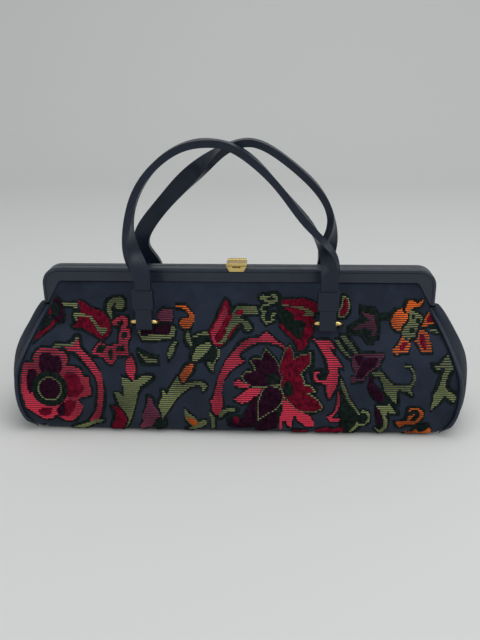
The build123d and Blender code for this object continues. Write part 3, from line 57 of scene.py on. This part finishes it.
# Loop rows and pile rows
LOOP_PITCH = 1.7 * MM
LOOP_WIDTH = 1.12 * MM
LOOP_HEIGHT = 1.35 * MM
LOOP_STEP = 0.55 * MM
PILE_PITCH = 1.05 * MM
PILE_WIDTH = 1.75 * MM
PILE_HEIGHT = 1.6 * MM
PILE_STEP = 0.85 * MM
PILE_WANDER = 0.12 * MM
SHORTEST_ROW = 0.7 * MM
SAME_FIELD_GAP = 0.15 * MM
END_RAG = 0.35 * MM
LOOM_STEP = 1.1 * MM

# Dark pile round the flowers
EDGING_REACH = 3.4 * MM
EDGING_LEAST = 0.25 * MM
EDGING_LOOK_ROUND = 1.3 * MM
EDGING_HEIGHT = 1.0 * MM
EDGING_LIMIT = 2.2 * MM

# Gusset's folded top and the piping's thin ends
GUSSET_COLUMNS = 41
LID_STEPS = 4
LID_CLEARANCE = 1.0 * MM
LID_LEG_REACH = 15.0 * MM
LID_LEG_FADE = 3.0 * MM
LID_RISE = 0.15 * MM
LID_DROP = 1.1 * MM
LEG_SWEEP_BOTTOM = 94.5 * MM
PIPING_SLICE = 1.6 * MM
PIPING_TAPER = 9.0 * MM
PIPING_TUCK = 1.8 * MM
PIPING_TIP_SHARE = 0.12

# Tucks in the panel below the frame's corners: place along x, width in metres, depth in millimetres
TUCKS = ((0.118, 0.0028, 0.9), (0.128, 0.0032, 1.2), (0.137, 0.0026, 1.0))

# Room: lamps as name, place, aim, size in metres and power in watts
WORLD_COLOUR = (0.95, 0.98, 1.0, 1.0)
WORLD_STRENGTH = 0.5
LAMPS = (
    ("overhead", (0.3, -0.2, 1.7), (0, 0, 0.05), 1.4, 13),
    ("window", (1.5, -1.0, 1.1), (0, 0, 0.08), 1.2, 10),
    ("fill", (-1.4, -1.2, 0.9), (0, 0, 0.08), 1.2, 5),
)
SWEEP_HALF_WIDTH = 3.0
SWEEP_FRONT = -2.5
SWEEP_BEND_START = 1.1
SWEEP_BEND_RADIUS = 0.8
SWEEP_BEND_STEPS = 12
SWEEP_TOP = 3.0
SWEEP_DROP = 0.0002

# Camera, from the photograph's view of the bag
CAMERA_PLACE = (0.0311, -0.5391, 0.290)
CAMERA_PITCH = 21.0
CAMERA_HEADING = 3.09
CAMERA_ROLL = -0.55
FOCAL_PIXELS = 700.0
PICTURE_HEIGHT = 640.0
SENSOR = 36.0

rng = np.random.default_rng(7)
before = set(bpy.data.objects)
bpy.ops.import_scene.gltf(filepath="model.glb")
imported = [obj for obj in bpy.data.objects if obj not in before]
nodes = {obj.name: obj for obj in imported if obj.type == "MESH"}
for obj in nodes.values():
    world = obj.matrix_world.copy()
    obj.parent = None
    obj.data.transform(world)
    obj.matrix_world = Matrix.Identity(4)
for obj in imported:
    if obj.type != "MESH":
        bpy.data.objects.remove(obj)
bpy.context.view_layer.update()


def srgb(red, green, blue):
    """Linear colour of an 8-bit screen colour."""
    channels = [value / 255 for value in (red, green, blue)]
    return tuple(c / 12.92 if c <= 0.04045 else ((c + 0.055) / 1.055) ** 2.4 for c in channels) + (1.0,)


class Shader:
    """A node material with its shader at hand, and short calls for the nodes the looks share."""

    def __init__(self, name, colour, roughness, metallic=0.0, specular=0.5):
        self.material = bpy.data.materials.new(name)
        self.material.use_nodes = True
        self.tree = self.material.node_tree
        self.principled = self.tree.nodes["Principled BSDF"]
        self.set("Base Color", colour)
        self.set("Roughness", roughness)
        self.set("Metallic", metallic)
        self.set("Specular IOR Level", specular)
        self.coordinates = self.node("ShaderNodeTexCoord").outputs["Object"]

    def set(self, socket, value):
        self.principled.inputs[socket].default_value = value

    def node(self, kind, **inputs):
        made = self.tree.nodes.new(kind)
        for key, value in inputs.items():
            made.inputs[key.replace("_", " ")].default_value = value
        return made

    def link(self, source, target):
        self.tree.links.new(source, target)

    def stretched(self, scale):
        """Object coordinates, scaled differently along each axis."""
        mapping = self.node("ShaderNodeMapping", Scale=scale)
        self.link(self.coordinates, mapping.inputs["Vector"])
        return mapping.outputs["Vector"]

    def noise(self, scale, detail=2.0, stretch=None):
        """Noise value over the object, scale in marks a metre."""
        made = self.node("ShaderNodeTexNoise", Scale=scale, Detail=detail)
        self.link(self.stretched(stretch) if stretch else self.coordinates, made.inputs["Vector"])
        return made.outputs["Fac"]

    def waves(self, pitch, axis, distortion=0.0):
        """Ridges across one axis with a pitch in metres."""
        made = self.node("ShaderNodeTexWave", Scale=math.pi / (10 * pitch), Distortion=distortion)
        made.bands_direction = axis
        made.wave_profile = "SIN"
        self.link(self.coordinates, made.inputs["Vector"])
        return made.outputs["Fac"]

    def cells(self, scale, stretch=None):
        """Distance to the nearest of many scattered points."""
        made = self.node("ShaderNodeTexVoronoi", Scale=scale)
        self.link(self.stretched(stretch) if stretch else self.coordinates, made.inputs["Vector"])
        return made.outputs["Distance"]

    def ramp(self, value, low, high, start=0.3, end=0.7):
        """Colour that goes from low to high as value goes from start to end."""
        made = self.node("ShaderNodeValToRGB")
        made.color_ramp.elements[0].position = start
        made.color_ramp.elements[0].color = low
        made.color_ramp.elements[1].position = end
        made.color_ramp.elements[1].color = high
        self.link(value, made.inputs["Fac"])
        return made.outputs["Color"]

    def added(self, first, second, share):
        """first plus share of second."""
        made = self.node("ShaderNodeMath")
        made.operation = "MULTIPLY_ADD"
        made.inputs[1].default_value = share
        self.link(second, made.inputs[0])
        self.link(first, made.inputs[2])
        return made.outputs[0]

    def bump(self, height, depth, strength=1.0):
        """Relief of a depth in metres."""
        made = self.node("ShaderNodeBump", Strength=strength, Distance=depth)
        self.link(height, made.inputs["Height"])
        self.link(made.outputs["Normal"], self.principled.inputs["Normal"])

    def colour(self, source):
        self.link(source, self.principled.inputs["Base Color"])

    def roughness(self, value, low, high):
        made = self.node("ShaderNodeMapRange", To_Min=low, To_Max=high)
        self.link(value, made.inputs["Value"])
        self.link(made.outputs["Result"], self.principled.inputs["Roughness"])


def scaled(colour, share):
    """The same colour, lighter or darker."""
    return tuple(channel * share for channel in colour[:3]) + (1.0,)


def make_cloth_look(name, colour):
    """Plain ribbed upholstery cloth."""
    look = Shader(name, colour, 0.92, specular=0.12)
    look.set("Sheen Weight", 0.06)
    look.set("Sheen Roughness", 0.5)
    patches = look.noise(60, 3.0)
    look.colour(look.ramp(patches, scaled(colour, 0.8), scaled(colour, 1.22)))
    ribs = look.waves(0.8 * MM, "Z", 0.3)
    threads = look.noise(900, 2.0, (1.0, 1.0, 2.2))
    look.bump(look.added(threads, ribs, 0.6), 0.25 * MM, 0.6)
    return look.material


def make_pile_look(name, colour):
    """Cut pile: matt, deep, with a soft sheen, its colour in darker and lighter streaks."""
    look = Shader(name, colour, 1.0, specular=0.1)
    look.set("Sheen Weight", 0.18)
    look.set("Sheen Roughness", 0.45)
    look.set("Sheen Tint", scaled(colour, 2.2))
    streaks = look.noise(420, 3.0, (1.0, 1.0, 0.6))
    look.colour(look.ramp(streaks, scaled(colour, 0.45), scaled(colour, 1.6), 0.32, 0.68))
    look.bump(look.noise(1500, 2.0), 0.5 * MM, 0.8)
    return look.material


def make_loop_look(name, colour):
    """Uncut worsted loops, in shades that change slowly over the cloth."""
    look = Shader(name, colour, 0.8, specular=0.2)
    look.set("Sheen Weight", 0.06)
    patches = look.added(look.noise(26, 1.0), look.noise(700, 2.0), 0.35)
    look.colour(look.ramp(patches, scaled(colour, 0.4), scaled(colour, 1.2), 0.5, 0.82))
    look.bump(look.noise(2600, 2.0, (1.0, 1.0, 0.5)), 0.2 * MM, 0.6)
    return look.material


def make_leather_look(name, colour, grain, gloss=0.16):
    """Fine-grained leather with a soft gloss, grain in cells a metre."""
    look = Shader(name, colour, 0.4, specular=0.26)
    look.set("Coat Weight", gloss)
    look.set("Coat Roughness", 0.2)
    cells = look.cells(grain)
    creases = look.noise(120, 4.0)
    look.colour(look.ramp(creases, scaled(colour, 0.82), scaled(colour, 1.2)))
    look.roughness(look.noise(220, 3.0), 0.36, 0.55)
    look.bump(look.added(cells, creases, 0.8), 0.12 * MM, 0.5)
    return look.material


def make_brass_look(name, colour, roughness):
    """Polished brass with fine wear."""
    look = Shader(name, colour, roughness, metallic=1.0)
    wear = look.noise(380, 4.0, (1.0, 3.0, 1.0))
    look.roughness(wear, roughness * 0.8, roughness * 1.7)
    look.colour(look.ramp(look.noise(140, 3.0), scaled(colour, 0.88), scaled(colour, 1.06)))
    look.bump(wear, 0.02 * MM, 0.1)
    return look.material


NAVY = srgb(34, 41, 54)
LEATHER = srgb(23, 33, 49)
LOOKS = {
    "navy_cloth": make_cloth_look("navy_cloth", NAVY),
    "gusset_cloth": make_cloth_look("gusset_cloth", srgb(34, 40, 50)),
    "lining_cloth": make_cloth_look("lining_cloth", srgb(148, 142, 134)),
    "leather": make_leather_look("leather", LEATHER, 1500),
    "handle_leather": make_leather_look("handle_leather", srgb(14, 24, 40), 1900),
    "frame_leather": make_leather_look("frame_leather", srgb(22, 32, 47), 1500, 0.45),
    "dark_steel": make_brass_look("dark_steel", srgb(58, 62, 70), 0.45),
    "brass": make_brass_look("brass", srgb(214, 188, 122), 0.2),
    "steel": make_brass_look("steel", srgb(190, 190, 192), 0.35),
    "fibreboard": make_cloth_look("fibreboard", srgb(150, 128, 98)),
    "crimson": make_pile_look("crimson", srgb(98, 12, 34)),
    "plum": make_pile_look("plum", srgb(38, 11, 29)),
    "dark_green": make_pile_look("dark_green", srgb(21, 32, 28)),
    "edging": make_pile_look("edging", srgb(20, 28, 28)),
    "coral": make_loop_look("coral", srgb(200, 52, 76)),
    "olive": make_loop_look("olive", srgb(120, 127, 84)),
    "orange": make_loop_look("orange", srgb(214, 100, 30)),
    "mauve": make_loop_look("mauve", srgb(112, 50, 72)),
}


def paint(obj, look):
    """Give an object one material."""
    obj.data.materials.clear()
    obj.data.materials.append(LOOKS[look])


def new_piece(name, points, faces, look, smooth=True):
    """Object from arrays of points and faces, in the frame's metres."""
    mesh = bpy.data.meshes.new(name)
    mesh.from_pydata([tuple(p) for p in points], [], [tuple(f) for f in faces])
    mesh.validate()
    piece = bpy.data.objects.new(name, mesh)
    bpy.context.scene.collection.objects.link(piece)
    for polygon in mesh.polygons:
        polygon.use_smooth = smooth
    paint(piece, look)
    return piece


def apply_modifiers(piece):
    """Fix the piece's modifiers into its mesh."""
    depsgraph = bpy.context.evaluated_depsgraph_get()
    mesh = bpy.data.meshes.new_from_object(piece.evaluated_get(depsgraph))
    piece.modifiers.clear()
    piece.data = mesh


def thicken(piece, thickness):
    """Give a sheet its thickness on the inner side."""
    solid = piece.modifiers.new("cloth", "SOLIDIFY")
    solid.thickness = thickness
    solid.offset = -1.0
    apply_modifiers(piece)


def half_turn(points):
    """Points of the front carried to the back, by half a turn about the upright axis."""
    return points * np.array([-1.0, -1.0, 1.0])


def triangles_of(node):
    """Corner points of a CAD node's triangles, as an array (count, 3, 3)."""
    mesh = nodes[node].data
    mesh.calc_loop_triangles()
    points = np.array([v.co for v in mesh.vertices], float)
    corners = np.array([t.vertices[:] for t in mesh.loop_triangles], int)
    return points[corners]


def surface_tree(node):
    """Ray target of a CAD node."""
    mesh = nodes[node].data
    return BVHTree.FromPolygons([v.co[:] for v in mesh.vertices], [p.vertices[:] for p in mesh.polygons])


def widest_at(triangles, level):
    """Largest |x| of a node's section at a height."""
    low = triangles[:, :, 2].min(1)
    high = triangles[:, :, 2].max(1)
    crossing = triangles[(low <= level) & (high >= level)]
    reach = 0.0
    for a in range(3):
        first = crossing[:, a]
        second = crossing[:, (a + 1) % 3]
        rise = second[:, 2] - first[:, 2]
        meets = (np.minimum(first[:, 2], second[:, 2]) <= level) & (
            np.maximum(first[:, 2], second[:, 2]) >= level
        )
        meets &= np.abs(rise) > 1e-9
        share = (level - first[meets, 2]) / rise[meets]
        x = first[meets, 0] + share * (second[meets, 0] - first[meets, 0])
        if len(x):
            reach = max(reach, float(np.abs(x).max()))
    return reach


def level_list(top):
    """Heights of the cloth's rows: close together where it curls under, then even."""
    low = [0.0, 0.02, 0.08, 0.2, 0.4, 0.7, 1.1, 1.6, 2.2, 3.0, 4.0, 5.2, 6.5, 8.0]
    levels = [MM * value for value in low]
    count = int(math.ceil((top - levels[-1]) / PANEL_STEP))
    rest = [levels[-1] + (top - levels[-1]) * i / count for i in range(1, count + 1)]
    return np.array(levels + rest)


class Panel:
    """The front panel's outer face as a table of depths over heights and shares of the half width."""

    def __init__(self):
        tree = surface_tree("tapestry")
        triangles = triangles_of("tapestry")
        top = float(triangles[:, :, 2].max()) - MOUTH_DROP
        self.levels = level_list(top)
        self.shares = np.linspace(-1.0, 1.0, PANEL_COLUMNS + 1)
        self.half_widths = np.array([widest_at(triangles, z) for z in self.levels]) - PANEL_EDGE
        rows = []
        for z, half_width in zip(self.levels, self.half_widths):
            rows.append([self.depth_by_ray(tree, share * half_width, max(z, 1e-5)) for share in self.shares])
        self.depths = np.array(rows)

    @staticmethod
    def depth_by_ray(tree, x, z):
        hit = tree.ray_cast(Vector((x, -0.2, z)), Vector((0, 1, 0)))[0]
        return hit.y if hit else 0.0

    def lean(self, x, z):
        """How far the stuffed cloth stands out or falls in at places on the panel, in metres."""
        wide = np.clip(1 - (x / 0.17) ** 2, 0, 1)
        tall = np.clip(np.sin(np.pi * np.clip(z / 0.118, 0, 1)), 0, 1)
        soft = 0.55 * np.sin(x * 31 + 1.3) * np.sin(z * 52 + 0.4) + 0.35 * np.sin(x * 67 + z * 41)
        hollow = -0.9 * np.exp(-(((x - 0.02) / 0.06) ** 2) - ((z - 0.1) / 0.012) ** 2)
        tucks = np.zeros_like(x)
        for place, width, deep in TUCKS:
            fade = np.clip((z - 0.088) / 0.02, 0, 1)
            lean = (z - 0.118) * 0.35
            for sign in (-1, 1):
                tucks -= deep * fade * np.exp(-(((x * sign - place - lean) / width) ** 2))
        return MM * (0.8 * wide * tall * (soft + hollow) + tucks)

    def place(self, x, z):
        """Points of the panel's face for arrays of x and z."""
        half_width = np.interp(z, self.levels, self.half_widths)
        share = np.clip(x / half_width, -1, 1)
        row = np.clip(np.searchsorted(self.levels, z) - 1, 0, len(self.levels) - 2)
        column = np.clip(((share + 1) / 2 * PANEL_COLUMNS).astype(int), 0, PANEL_COLUMNS - 1)
        up = (z - self.levels[row]) / (self.levels[row + 1] - self.levels[row])
        across = (share + 1) / 2 * PANEL_COLUMNS - column
        below = self.depths[row, column] * (1 - across) + self.depths[row, column + 1] * across
        above = self.depths[row + 1, column] * (1 - across) + self.depths[row + 1, column + 1] * across
        y = below * (1 - up) + above * up - self.lean(x, z)
        return np.stack([x, y, z], axis=-1)

    def outward(self, x, z):
        """Unit normals of the panel's face, and unit directions up the face."""
        step = 0.4 * MM
        over = self.place(x + step, z) - self.place(x - step, z)
        up = self.place(x, z + step) - self.place(x, np.maximum(z - step, 0))
        normal = np.cross(over, up)
        normal /= np.linalg.norm(normal, axis=-1, keepdims=True)
        up /= np.linalg.norm(up, axis=-1, keepdims=True)
        return normal, up

    def rows_along(self, pitch):
        """Heights of rows evenly spaced along the cloth at its middle."""
        middle = self.depths[:, PANEL_COLUMNS // 2]
        runs = np.hypot(np.diff(middle), np.diff(self.levels))
        length = np.concatenate([[0.0], np.cumsum(runs)])
        return np.interp(np.arange(pitch / 2, length[-1], pitch), length, self.levels)


panel = Panel()


def grid_faces(rows, columns):
    """Quads of a grid whose points are listed row by row."""
    faces = []
    for row in range(rows - 1):
        for column in range(columns - 1):
            corner = row * columns + column
            faces.append((corner, corner + 1, corner + columns + 1, corner + columns))
    return faces


def turn_with_frame(piece):
    """Fix the cloth's placement into its points."""
    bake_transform(piece)


def make_panel_cloth(side):
    """One panel from the middle of the bottom to the frame."""
    share, level = np.meshgrid(panel.shares, panel.levels)
    half_width = np.repeat(panel.half_widths[:, None], len(panel.shares), axis=1)
    tuck = LEG_TUCK * np.clip((level - LEG_TUCK_START) / (3 * MM), 0, 1)
    face = panel.place(share * (half_width + tuck), level)
    under = face[:1].copy()
    under[:, :, 1] = 0.0
    points = np.concatenate([under, face]).reshape(-1, 3)
    if side == "back":
        points = half_turn(points)
    faces = grid_faces(len(panel.levels) + 1, len(panel.shares))
    piece = new_piece(f"{side}_cloth", points, faces, "navy_cloth")
    thicken(piece, CLOTH_THICKNESS)
    turn_with_frame(piece)
    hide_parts("tapestry")
    return piece


def joined_spans(spans, gap=0.0):
    """Stretches that overlap, or lie closer than a gap, run together."""
    joined = []
    for start, end in sorted(spans):
        if joined and start <= joined[-1][1] + gap:
            joined[-1][1] = max(joined[-1][1], end)
        else:
            joined.append([start, end])
    return joined


def field_spans(triangles, level):
    """Stretches of x that a colour covers at a height, from its outer faces."""
    low = triangles[:, :, 2].min(1)
    high = triangles[:, :, 2].max(1)
    spans = []
    for triangle in triangles[(low < level) & (high > level)]:
        xs = []
        for first, second in ((0, 1), (1, 2), (2, 0)):
            z0, z1 = triangle[first, 2], triangle[second, 2]
            if (z0 - level) * (z1 - level) < 0:
                share = (level - z0) / (z1 - z0)
                xs.append(triangle[first, 0] + share * (triangle[second, 0] - triangle[first, 0]))
        if len(xs) == 2:
            spans.append((min(xs), max(xs)))
    return joined_spans(spans, SAME_FIELD_GAP)


def outer_triangles(node):
    """The triangles of a colour's node that face out of the panel."""
    triangles = triangles_of(node)
    normals = np.cross(triangles[:, 1] - triangles[:, 0], triangles[:, 2] - triangles[:, 0])
    size = np.linalg.norm(normals, axis=1)
    facing = normals[:, 1] < -0.25 * np.maximum(size, 1e-12)
    low = (normals[:, 2] < -0.5 * size) & (triangles[:, :, 2].mean(1) < 0.012)
    return triangles[facing | low]


PROFILE = [(-0.5, -0.35), (-0.42, 0.45), (0.0, 1.0), (0.42, 0.45), (0.5, -0.35)]


def yarn_row(start, end, level, width, height, step, cut):
    """Points and faces of one row of yarn along the cloth."""
    count = max(3, int(round((end - start) / step)) + 1)
    x = np.linspace(start, end, count)
    z = np.full(count, level)
    if cut:
        z = z + rng.normal(0, PILE_WANDER, count)
        tall = height * (0.82 + 0.3 * rng.random(count))
    else:
        tall = height * (0.62 + 0.38 * np.abs(np.sin(np.pi * x / LOOP_PITCH + 40 * level)))
    ends = np.minimum(np.arange(count), np.arange(count)[::-1])
    tall = tall * np.clip(0.35 + 0.45 * ends, 0, 1)
    base = panel.place(x, z)
    normal, up = panel.outward(x, z)
    rings = [base + up * (a * width) + normal * (b * tall)[:, None] for a, b in PROFILE]
    points = np.stack(rings, axis=1).reshape(-1, 3)
    faces = grid_faces(count, len(PROFILE))
    last = (count - 1) * len(PROFILE)
    faces.append(tuple(range(len(PROFILE)))[::-1])
    faces.append(tuple(range(last, last + len(PROFILE))))
    return points, faces


def make_edging(side):
    """Short dark pile that shades round the flowers, wider in some places than in others."""
    fields = [outer_triangles(f"front_{colour}_pattern") for colour in PILE_COLOURS + LOOP_COLOURS]
    points, faces, total = [], [], 0
    for level in panel.rows_along(PILE_PITCH):
        limit = float(np.interp(level, panel.levels, panel.half_widths)) - EDGING_LIMIT
        covered = joined_spans([span for field in fields for span in field_spans(field, level)])
        near = []
        for shift in (-EDGING_LOOK_ROUND, 0.0, EDGING_LOOK_ROUND):
            for field in fields:
                near.extend(field_spans(field, level + shift))
        wide = []
        for start, end in near:
            reaches = [
                EDGING_REACH * (0.3 + 0.65 * math.sin(x * 95 + 1.7) * math.sin(level * 83 + x * 40 + 0.6))
                for x in (start, end)
            ]
            wide.append((start - max(reaches[0], EDGING_LEAST), end + max(reaches[1], EDGING_LEAST)))
        for start, end in joined_spans(wide):
            start, end = max(start, -limit), min(end, limit)
            cuts = [start]
            for low, high in covered:
                if high > start and low < end:
                    cuts.extend((low, high))
            cuts.append(end)
            for left, right in zip(cuts[::2], cuts[1::2]):
                if right - left < SHORTEST_ROW:
                    continue
                row = yarn_row(left, right, level, PILE_WIDTH, EDGING_HEIGHT, PILE_STEP, True)
                points.append(row[0])
                faces.extend(tuple(index + total for index in face) for face in row[1])
                total += len(row[0])
    joined = np.concatenate(points)
    if side == "back":
        joined = half_turn(joined)
    piece = new_piece(f"{side}_edging_yarn", joined, faces, "edging")
    turn_with_frame(piece)
    return piece


def woven_ends(start, end, cut):
    """Ends of a row: ragged where the yarn is cut, in the loom's steps where it is looped."""
    if cut:
        return start + rng.uniform(-END_RAG, END_RAG), end + rng.uniform(-END_RAG, END_RAG)
    return LOOM_STEP * round(start / LOOM_STEP), LOOM_STEP * round(end / LOOM_STEP)


def make_yarn(side, colour):
    """All of one colour's rows on one panel."""
    cut = colour in PILE_COLOURS
    pitch = PILE_PITCH if cut else LOOP_PITCH
    width = PILE_WIDTH if cut else LOOP_WIDTH
    height = PILE_HEIGHT if cut else LOOP_HEIGHT
    step = PILE_STEP if cut else LOOP_STEP
    triangles = outer_triangles(f"front_{colour}_pattern")
    points, faces, total = [], [], 0
    for level in panel.rows_along(pitch):
        for start, end in field_spans(triangles, level):
            start, end = woven_ends(start, end, cut)
            if end - start < SHORTEST_ROW:
                continue
            row_points, row_faces = yarn_row(start, end, level, width, height, step, cut)
            points.append(row_points)
            faces.extend(tuple(index + total for index in face) for face in row_faces)
            total += len(row_points)
    joined = np.concatenate(points)
    if side == "back":
        joined = half_turn(joined)
    piece = new_piece(f"{side}_{colour}_yarn", joined, faces, colour)
    turn_with_frame(piece)
    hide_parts(f"{side}_{colour}_pattern")
    return piece


def lid_rows(rim, sign, seam_x):
    """Rows that fold the gusset's top inwards, as far as the frame's legs."""
    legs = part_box("front_frame_leather")[1]
    rows = []
    for step in range(1, LID_STEPS + 1):
        share = step / LID_STEPS
        row = []
        for x, y, z in rim:
            beside_leg = min(1.0, max(0.0, (LID_LEG_REACH - abs(y)) / LID_LEG_FADE))
            inner = seam_x + max(0.0, legs.x + LID_CLEARANCE - seam_x) * beside_leg
            inner = min(inner, abs(x))
            reach = abs(x) + (inner - abs(x)) * share
            row.append((sign * reach, y, z + LID_RISE * math.sin(math.pi * share)))
        rows.append(row)
    return rows


def make_piping(name):
    """Seam piping whose ends run out into the seam."""
    mesh = nodes[name].data.copy()
    points = np.array([v.co for v in mesh.vertices], float)
    low, high = points[:, 2].min(), points[:, 2].max()
    order = np.argsort(points[:, 2])
    for vertex in mesh.vertices:
        z = vertex.co.z
        near = order[np.abs(points[order, 2] - z) < PIPING_SLICE]
        centre = points[near].mean(0)
        thin = min(1.0, PIPING_TIP_SHARE + min(z - low, high - z) / PIPING_TAPER)
        inward = PIPING_TUCK * (1.0 - thin) if z < (low + high) / 2 else 0.0
        vertex.co.x = centre[0] + (vertex.co.x - centre[0]) * thin - math.copysign(inward, centre[0])
        vertex.co.y = centre[1] + (vertex.co.y - centre[1]) * thin - math.copysign(inward, centre[1])
    piece = bpy.data.objects.new(f"{name}_cord", mesh)
    bpy.context.scene.collection.objects.link(piece)
    paint(piece, "leather")
    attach(piece, "bag_body")
    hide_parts(name)
    return piece


def make_gusset_cloth(sign):
    """Plain cloth end of the bag, from the middle of its flat bottom to the frame's leg."""
    name = "right" if sign > 0 else "left"
    tree = surface_tree(f"{name}_gusset")
    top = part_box(f"{name}_gusset")[1].z - LID_DROP
    leg_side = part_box("front_frame_leather")[1].x + LID_CLEARANCE
    levels = level_list(top)
    turns = np.linspace(-math.pi / 2, math.pi / 2, GUSSET_COLUMNS)
    rows = []
    for level in levels:
        half_width = float(np.interp(level, panel.levels, panel.half_widths)) + PANEL_EDGE
        edge = -float(panel.place(np.array([half_width]), np.array([level]))[0, 1])
        row = []
        for turn in turns:
            y = edge * math.sin(turn) * 0.995
            hit = tree.ray_cast(Vector((sign * 0.3, y, max(level, 1e-5))), Vector((-sign, 0, 0)))[0]
            x = hit.x if hit else sign * half_width
            fade = math.cos(turn) * min(1.0, level / 0.02)
            fold = 0.5 * math.sin(9 * turn + 60 * level) + 0.5 * math.sin(140 * level + 5 * y)
            gather = 1.3 * math.sin(7 * turn) * max(0.0, (level - 0.06) / 0.04)
            x += sign * MM * fade * (0.45 * fold + 0.5 * gather - 0.5)
            if level > LEG_SWEEP_BOTTOM:
                x = sign * max(abs(x), leg_side + GUSSET_THICKNESS)
            row.append((x, y, level))
        row[0] = (sign * half_width, -edge, level)
        row[-1] = (sign * half_width, edge, level)
        rows.append(row)
    under = [(sign * abs(panel.half_widths[0]), y, 0.0) for _, y, _ in rows[0]]
    rows = [under] + rows + lid_rows(rows[-1], sign, half_width)
    points = np.array(rows).reshape(-1, 3)
    faces = grid_faces(len(rows), len(turns))
    if sign < 0:
        faces = [face[::-1] for face in faces]
    piece = new_piece(f"{name}_gusset_cloth", points, faces, "gusset_cloth")
    thicken(piece, GUSSET_THICKNESS)
    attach(piece, "bag_body")
    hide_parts(f"{name}_gusset")
    return piece


def make_lining_half(side):
    """Half of the lining bag, cut through its middle."""
    mesh = nodes["lining"].data.copy()
    shape = bmesh.new()
    shape.from_mesh(mesh)
    keep = -1 if side == "front" else 1
    bmesh.ops.bisect_plane(
        shape,
        geom=shape.verts[:] + shape.edges[:] + shape.faces[:],
        plane_co=(0, 0, 0),
        plane_no=(0, keep, 0),
        clear_inner=True,
    )
    bmesh.ops.remove_doubles(shape, verts=shape.verts[:], dist=0.00001)
    shape.to_mesh(mesh)
    shape.free()
    piece = bpy.data.objects.new(f"{side}_lining_cloth", mesh)
    bpy.context.scene.collection.objects.link(piece)
    for key in list(piece.keys()):
        del piece[key]
    paint(piece, "lining_cloth")
    turn_with_frame(piece)
    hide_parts("lining")
    return piece


def dress_rigid_nodes():
    """Give the CAD nodes that stay their finishes."""
    for name, node in nodes.items():
        if name.endswith(("_pattern", "gusset", "piping")) or name in ("tapestry", "lining"):
            continue
        if "strap" in name or "keeper" in name:
            paint(node, "handle_leather")
        elif "leather" in name:
            paint(node, "frame_leather")
        elif "rivet" in name:
            paint(node, "dark_steel")
        elif "clasp" in name or "staple" in name:
            paint(node, "brass")
        elif name == "bottom_board":
            paint(node, "fibreboard")
        else:
            paint(node, "steel")


def make_stage():
    """Pale sweep: a floor that curves up behind into a backdrop."""
    profile = [(SWEEP_FRONT, 0.0), (SWEEP_BEND_START, 0.0)]
    for i in range(1, SWEEP_BEND_STEPS + 1):
        turn = i / SWEEP_BEND_STEPS * math.pi / 2
        y = SWEEP_BEND_START + SWEEP_BEND_RADIUS * math.sin(turn)
        profile.append((y, SWEEP_BEND_RADIUS * (1 - math.cos(turn))))
    profile.append((SWEEP_BEND_START + SWEEP_BEND_RADIUS, SWEEP_TOP))
    points = [(x, y, z - SWEEP_DROP) for y, z in profile for x in (-SWEEP_HALF_WIDTH, SWEEP_HALF_WIDTH)]
    sweep = new_piece("sweep", points, grid_faces(len(profile), 2), "navy_cloth")
    look = Shader("paper", srgb(210, 211, 209), 0.9, specular=0.2)
    sweep.data.materials.clear()
    sweep.data.materials.append(look.material)


def add_lamp(name, place, aim, size, power):
    """Square soft lamp that shines from a place towards a point."""
    lamp = bpy.data.lights.new(name, "AREA")
    lamp.shape = "SQUARE"
    lamp.size = size
    lamp.energy = power
    holder = bpy.data.objects.new(name, lamp)
    bpy.context.scene.collection.objects.link(holder)
    holder.location = place
    holder.rotation_euler = (Vector(aim) - Vector(place)).to_track_quat("-Z", "Y").to_euler()


def make_lights():
    """Soft daylight from above and from the right."""
    world = bpy.data.worlds.new("room")
    world.use_nodes = True
    background = world.node_tree.nodes["Background"]
    background.inputs["Color"].default_value = WORLD_COLOUR
    background.inputs["Strength"].default_value = WORLD_STRENGTH
    bpy.context.scene.world = world
    for lamp in LAMPS:
        add_lamp(*lamp)


def make_camera():
    """Camera where the photograph was taken from."""
    camera = bpy.data.cameras.new("camera")
    camera.sensor_width = SENSOR
    camera.lens = SENSOR * FOCAL_PIXELS / PICTURE_HEIGHT
    holder = bpy.data.objects.new("camera", camera)
    bpy.context.scene.collection.objects.link(holder)
    pitch = math.radians(CAMERA_PITCH)
    heading = math.radians(CAMERA_HEADING)
    roll = math.radians(CAMERA_ROLL)
    forward = Vector(
        (-math.sin(heading) * math.cos(pitch), math.cos(heading) * math.cos(pitch), -math.sin(pitch))
    )
    level_right = Vector((math.cos(heading), math.sin(heading), 0))
    level_up = level_right.cross(forward)
    right = level_right * math.cos(roll) + level_up * math.sin(roll)
    up = right.cross(forward)
    turn = Matrix((right, up, -forward)).transposed().to_4x4()
    holder.matrix_world = Matrix.Translation(CAMERA_PLACE) @ turn
    bpy.context.scene.camera = holder


for side in SIDES:
    make_panel_cloth(side)
    make_lining_half(side)
    make_edging(side)
    for colour in PILE_COLOURS + LOOP_COLOURS:
        make_yarn(side, colour)
for sign in (-1, 1):
    make_gusset_cloth(sign)
for name in [node for node in nodes if node.endswith("piping")]:
    make_piping(name)
dress_rigid_nodes()
make_stage()
make_lights()
make_camera()
bpy.context.scene.view_settings.view_transform = "Standard"
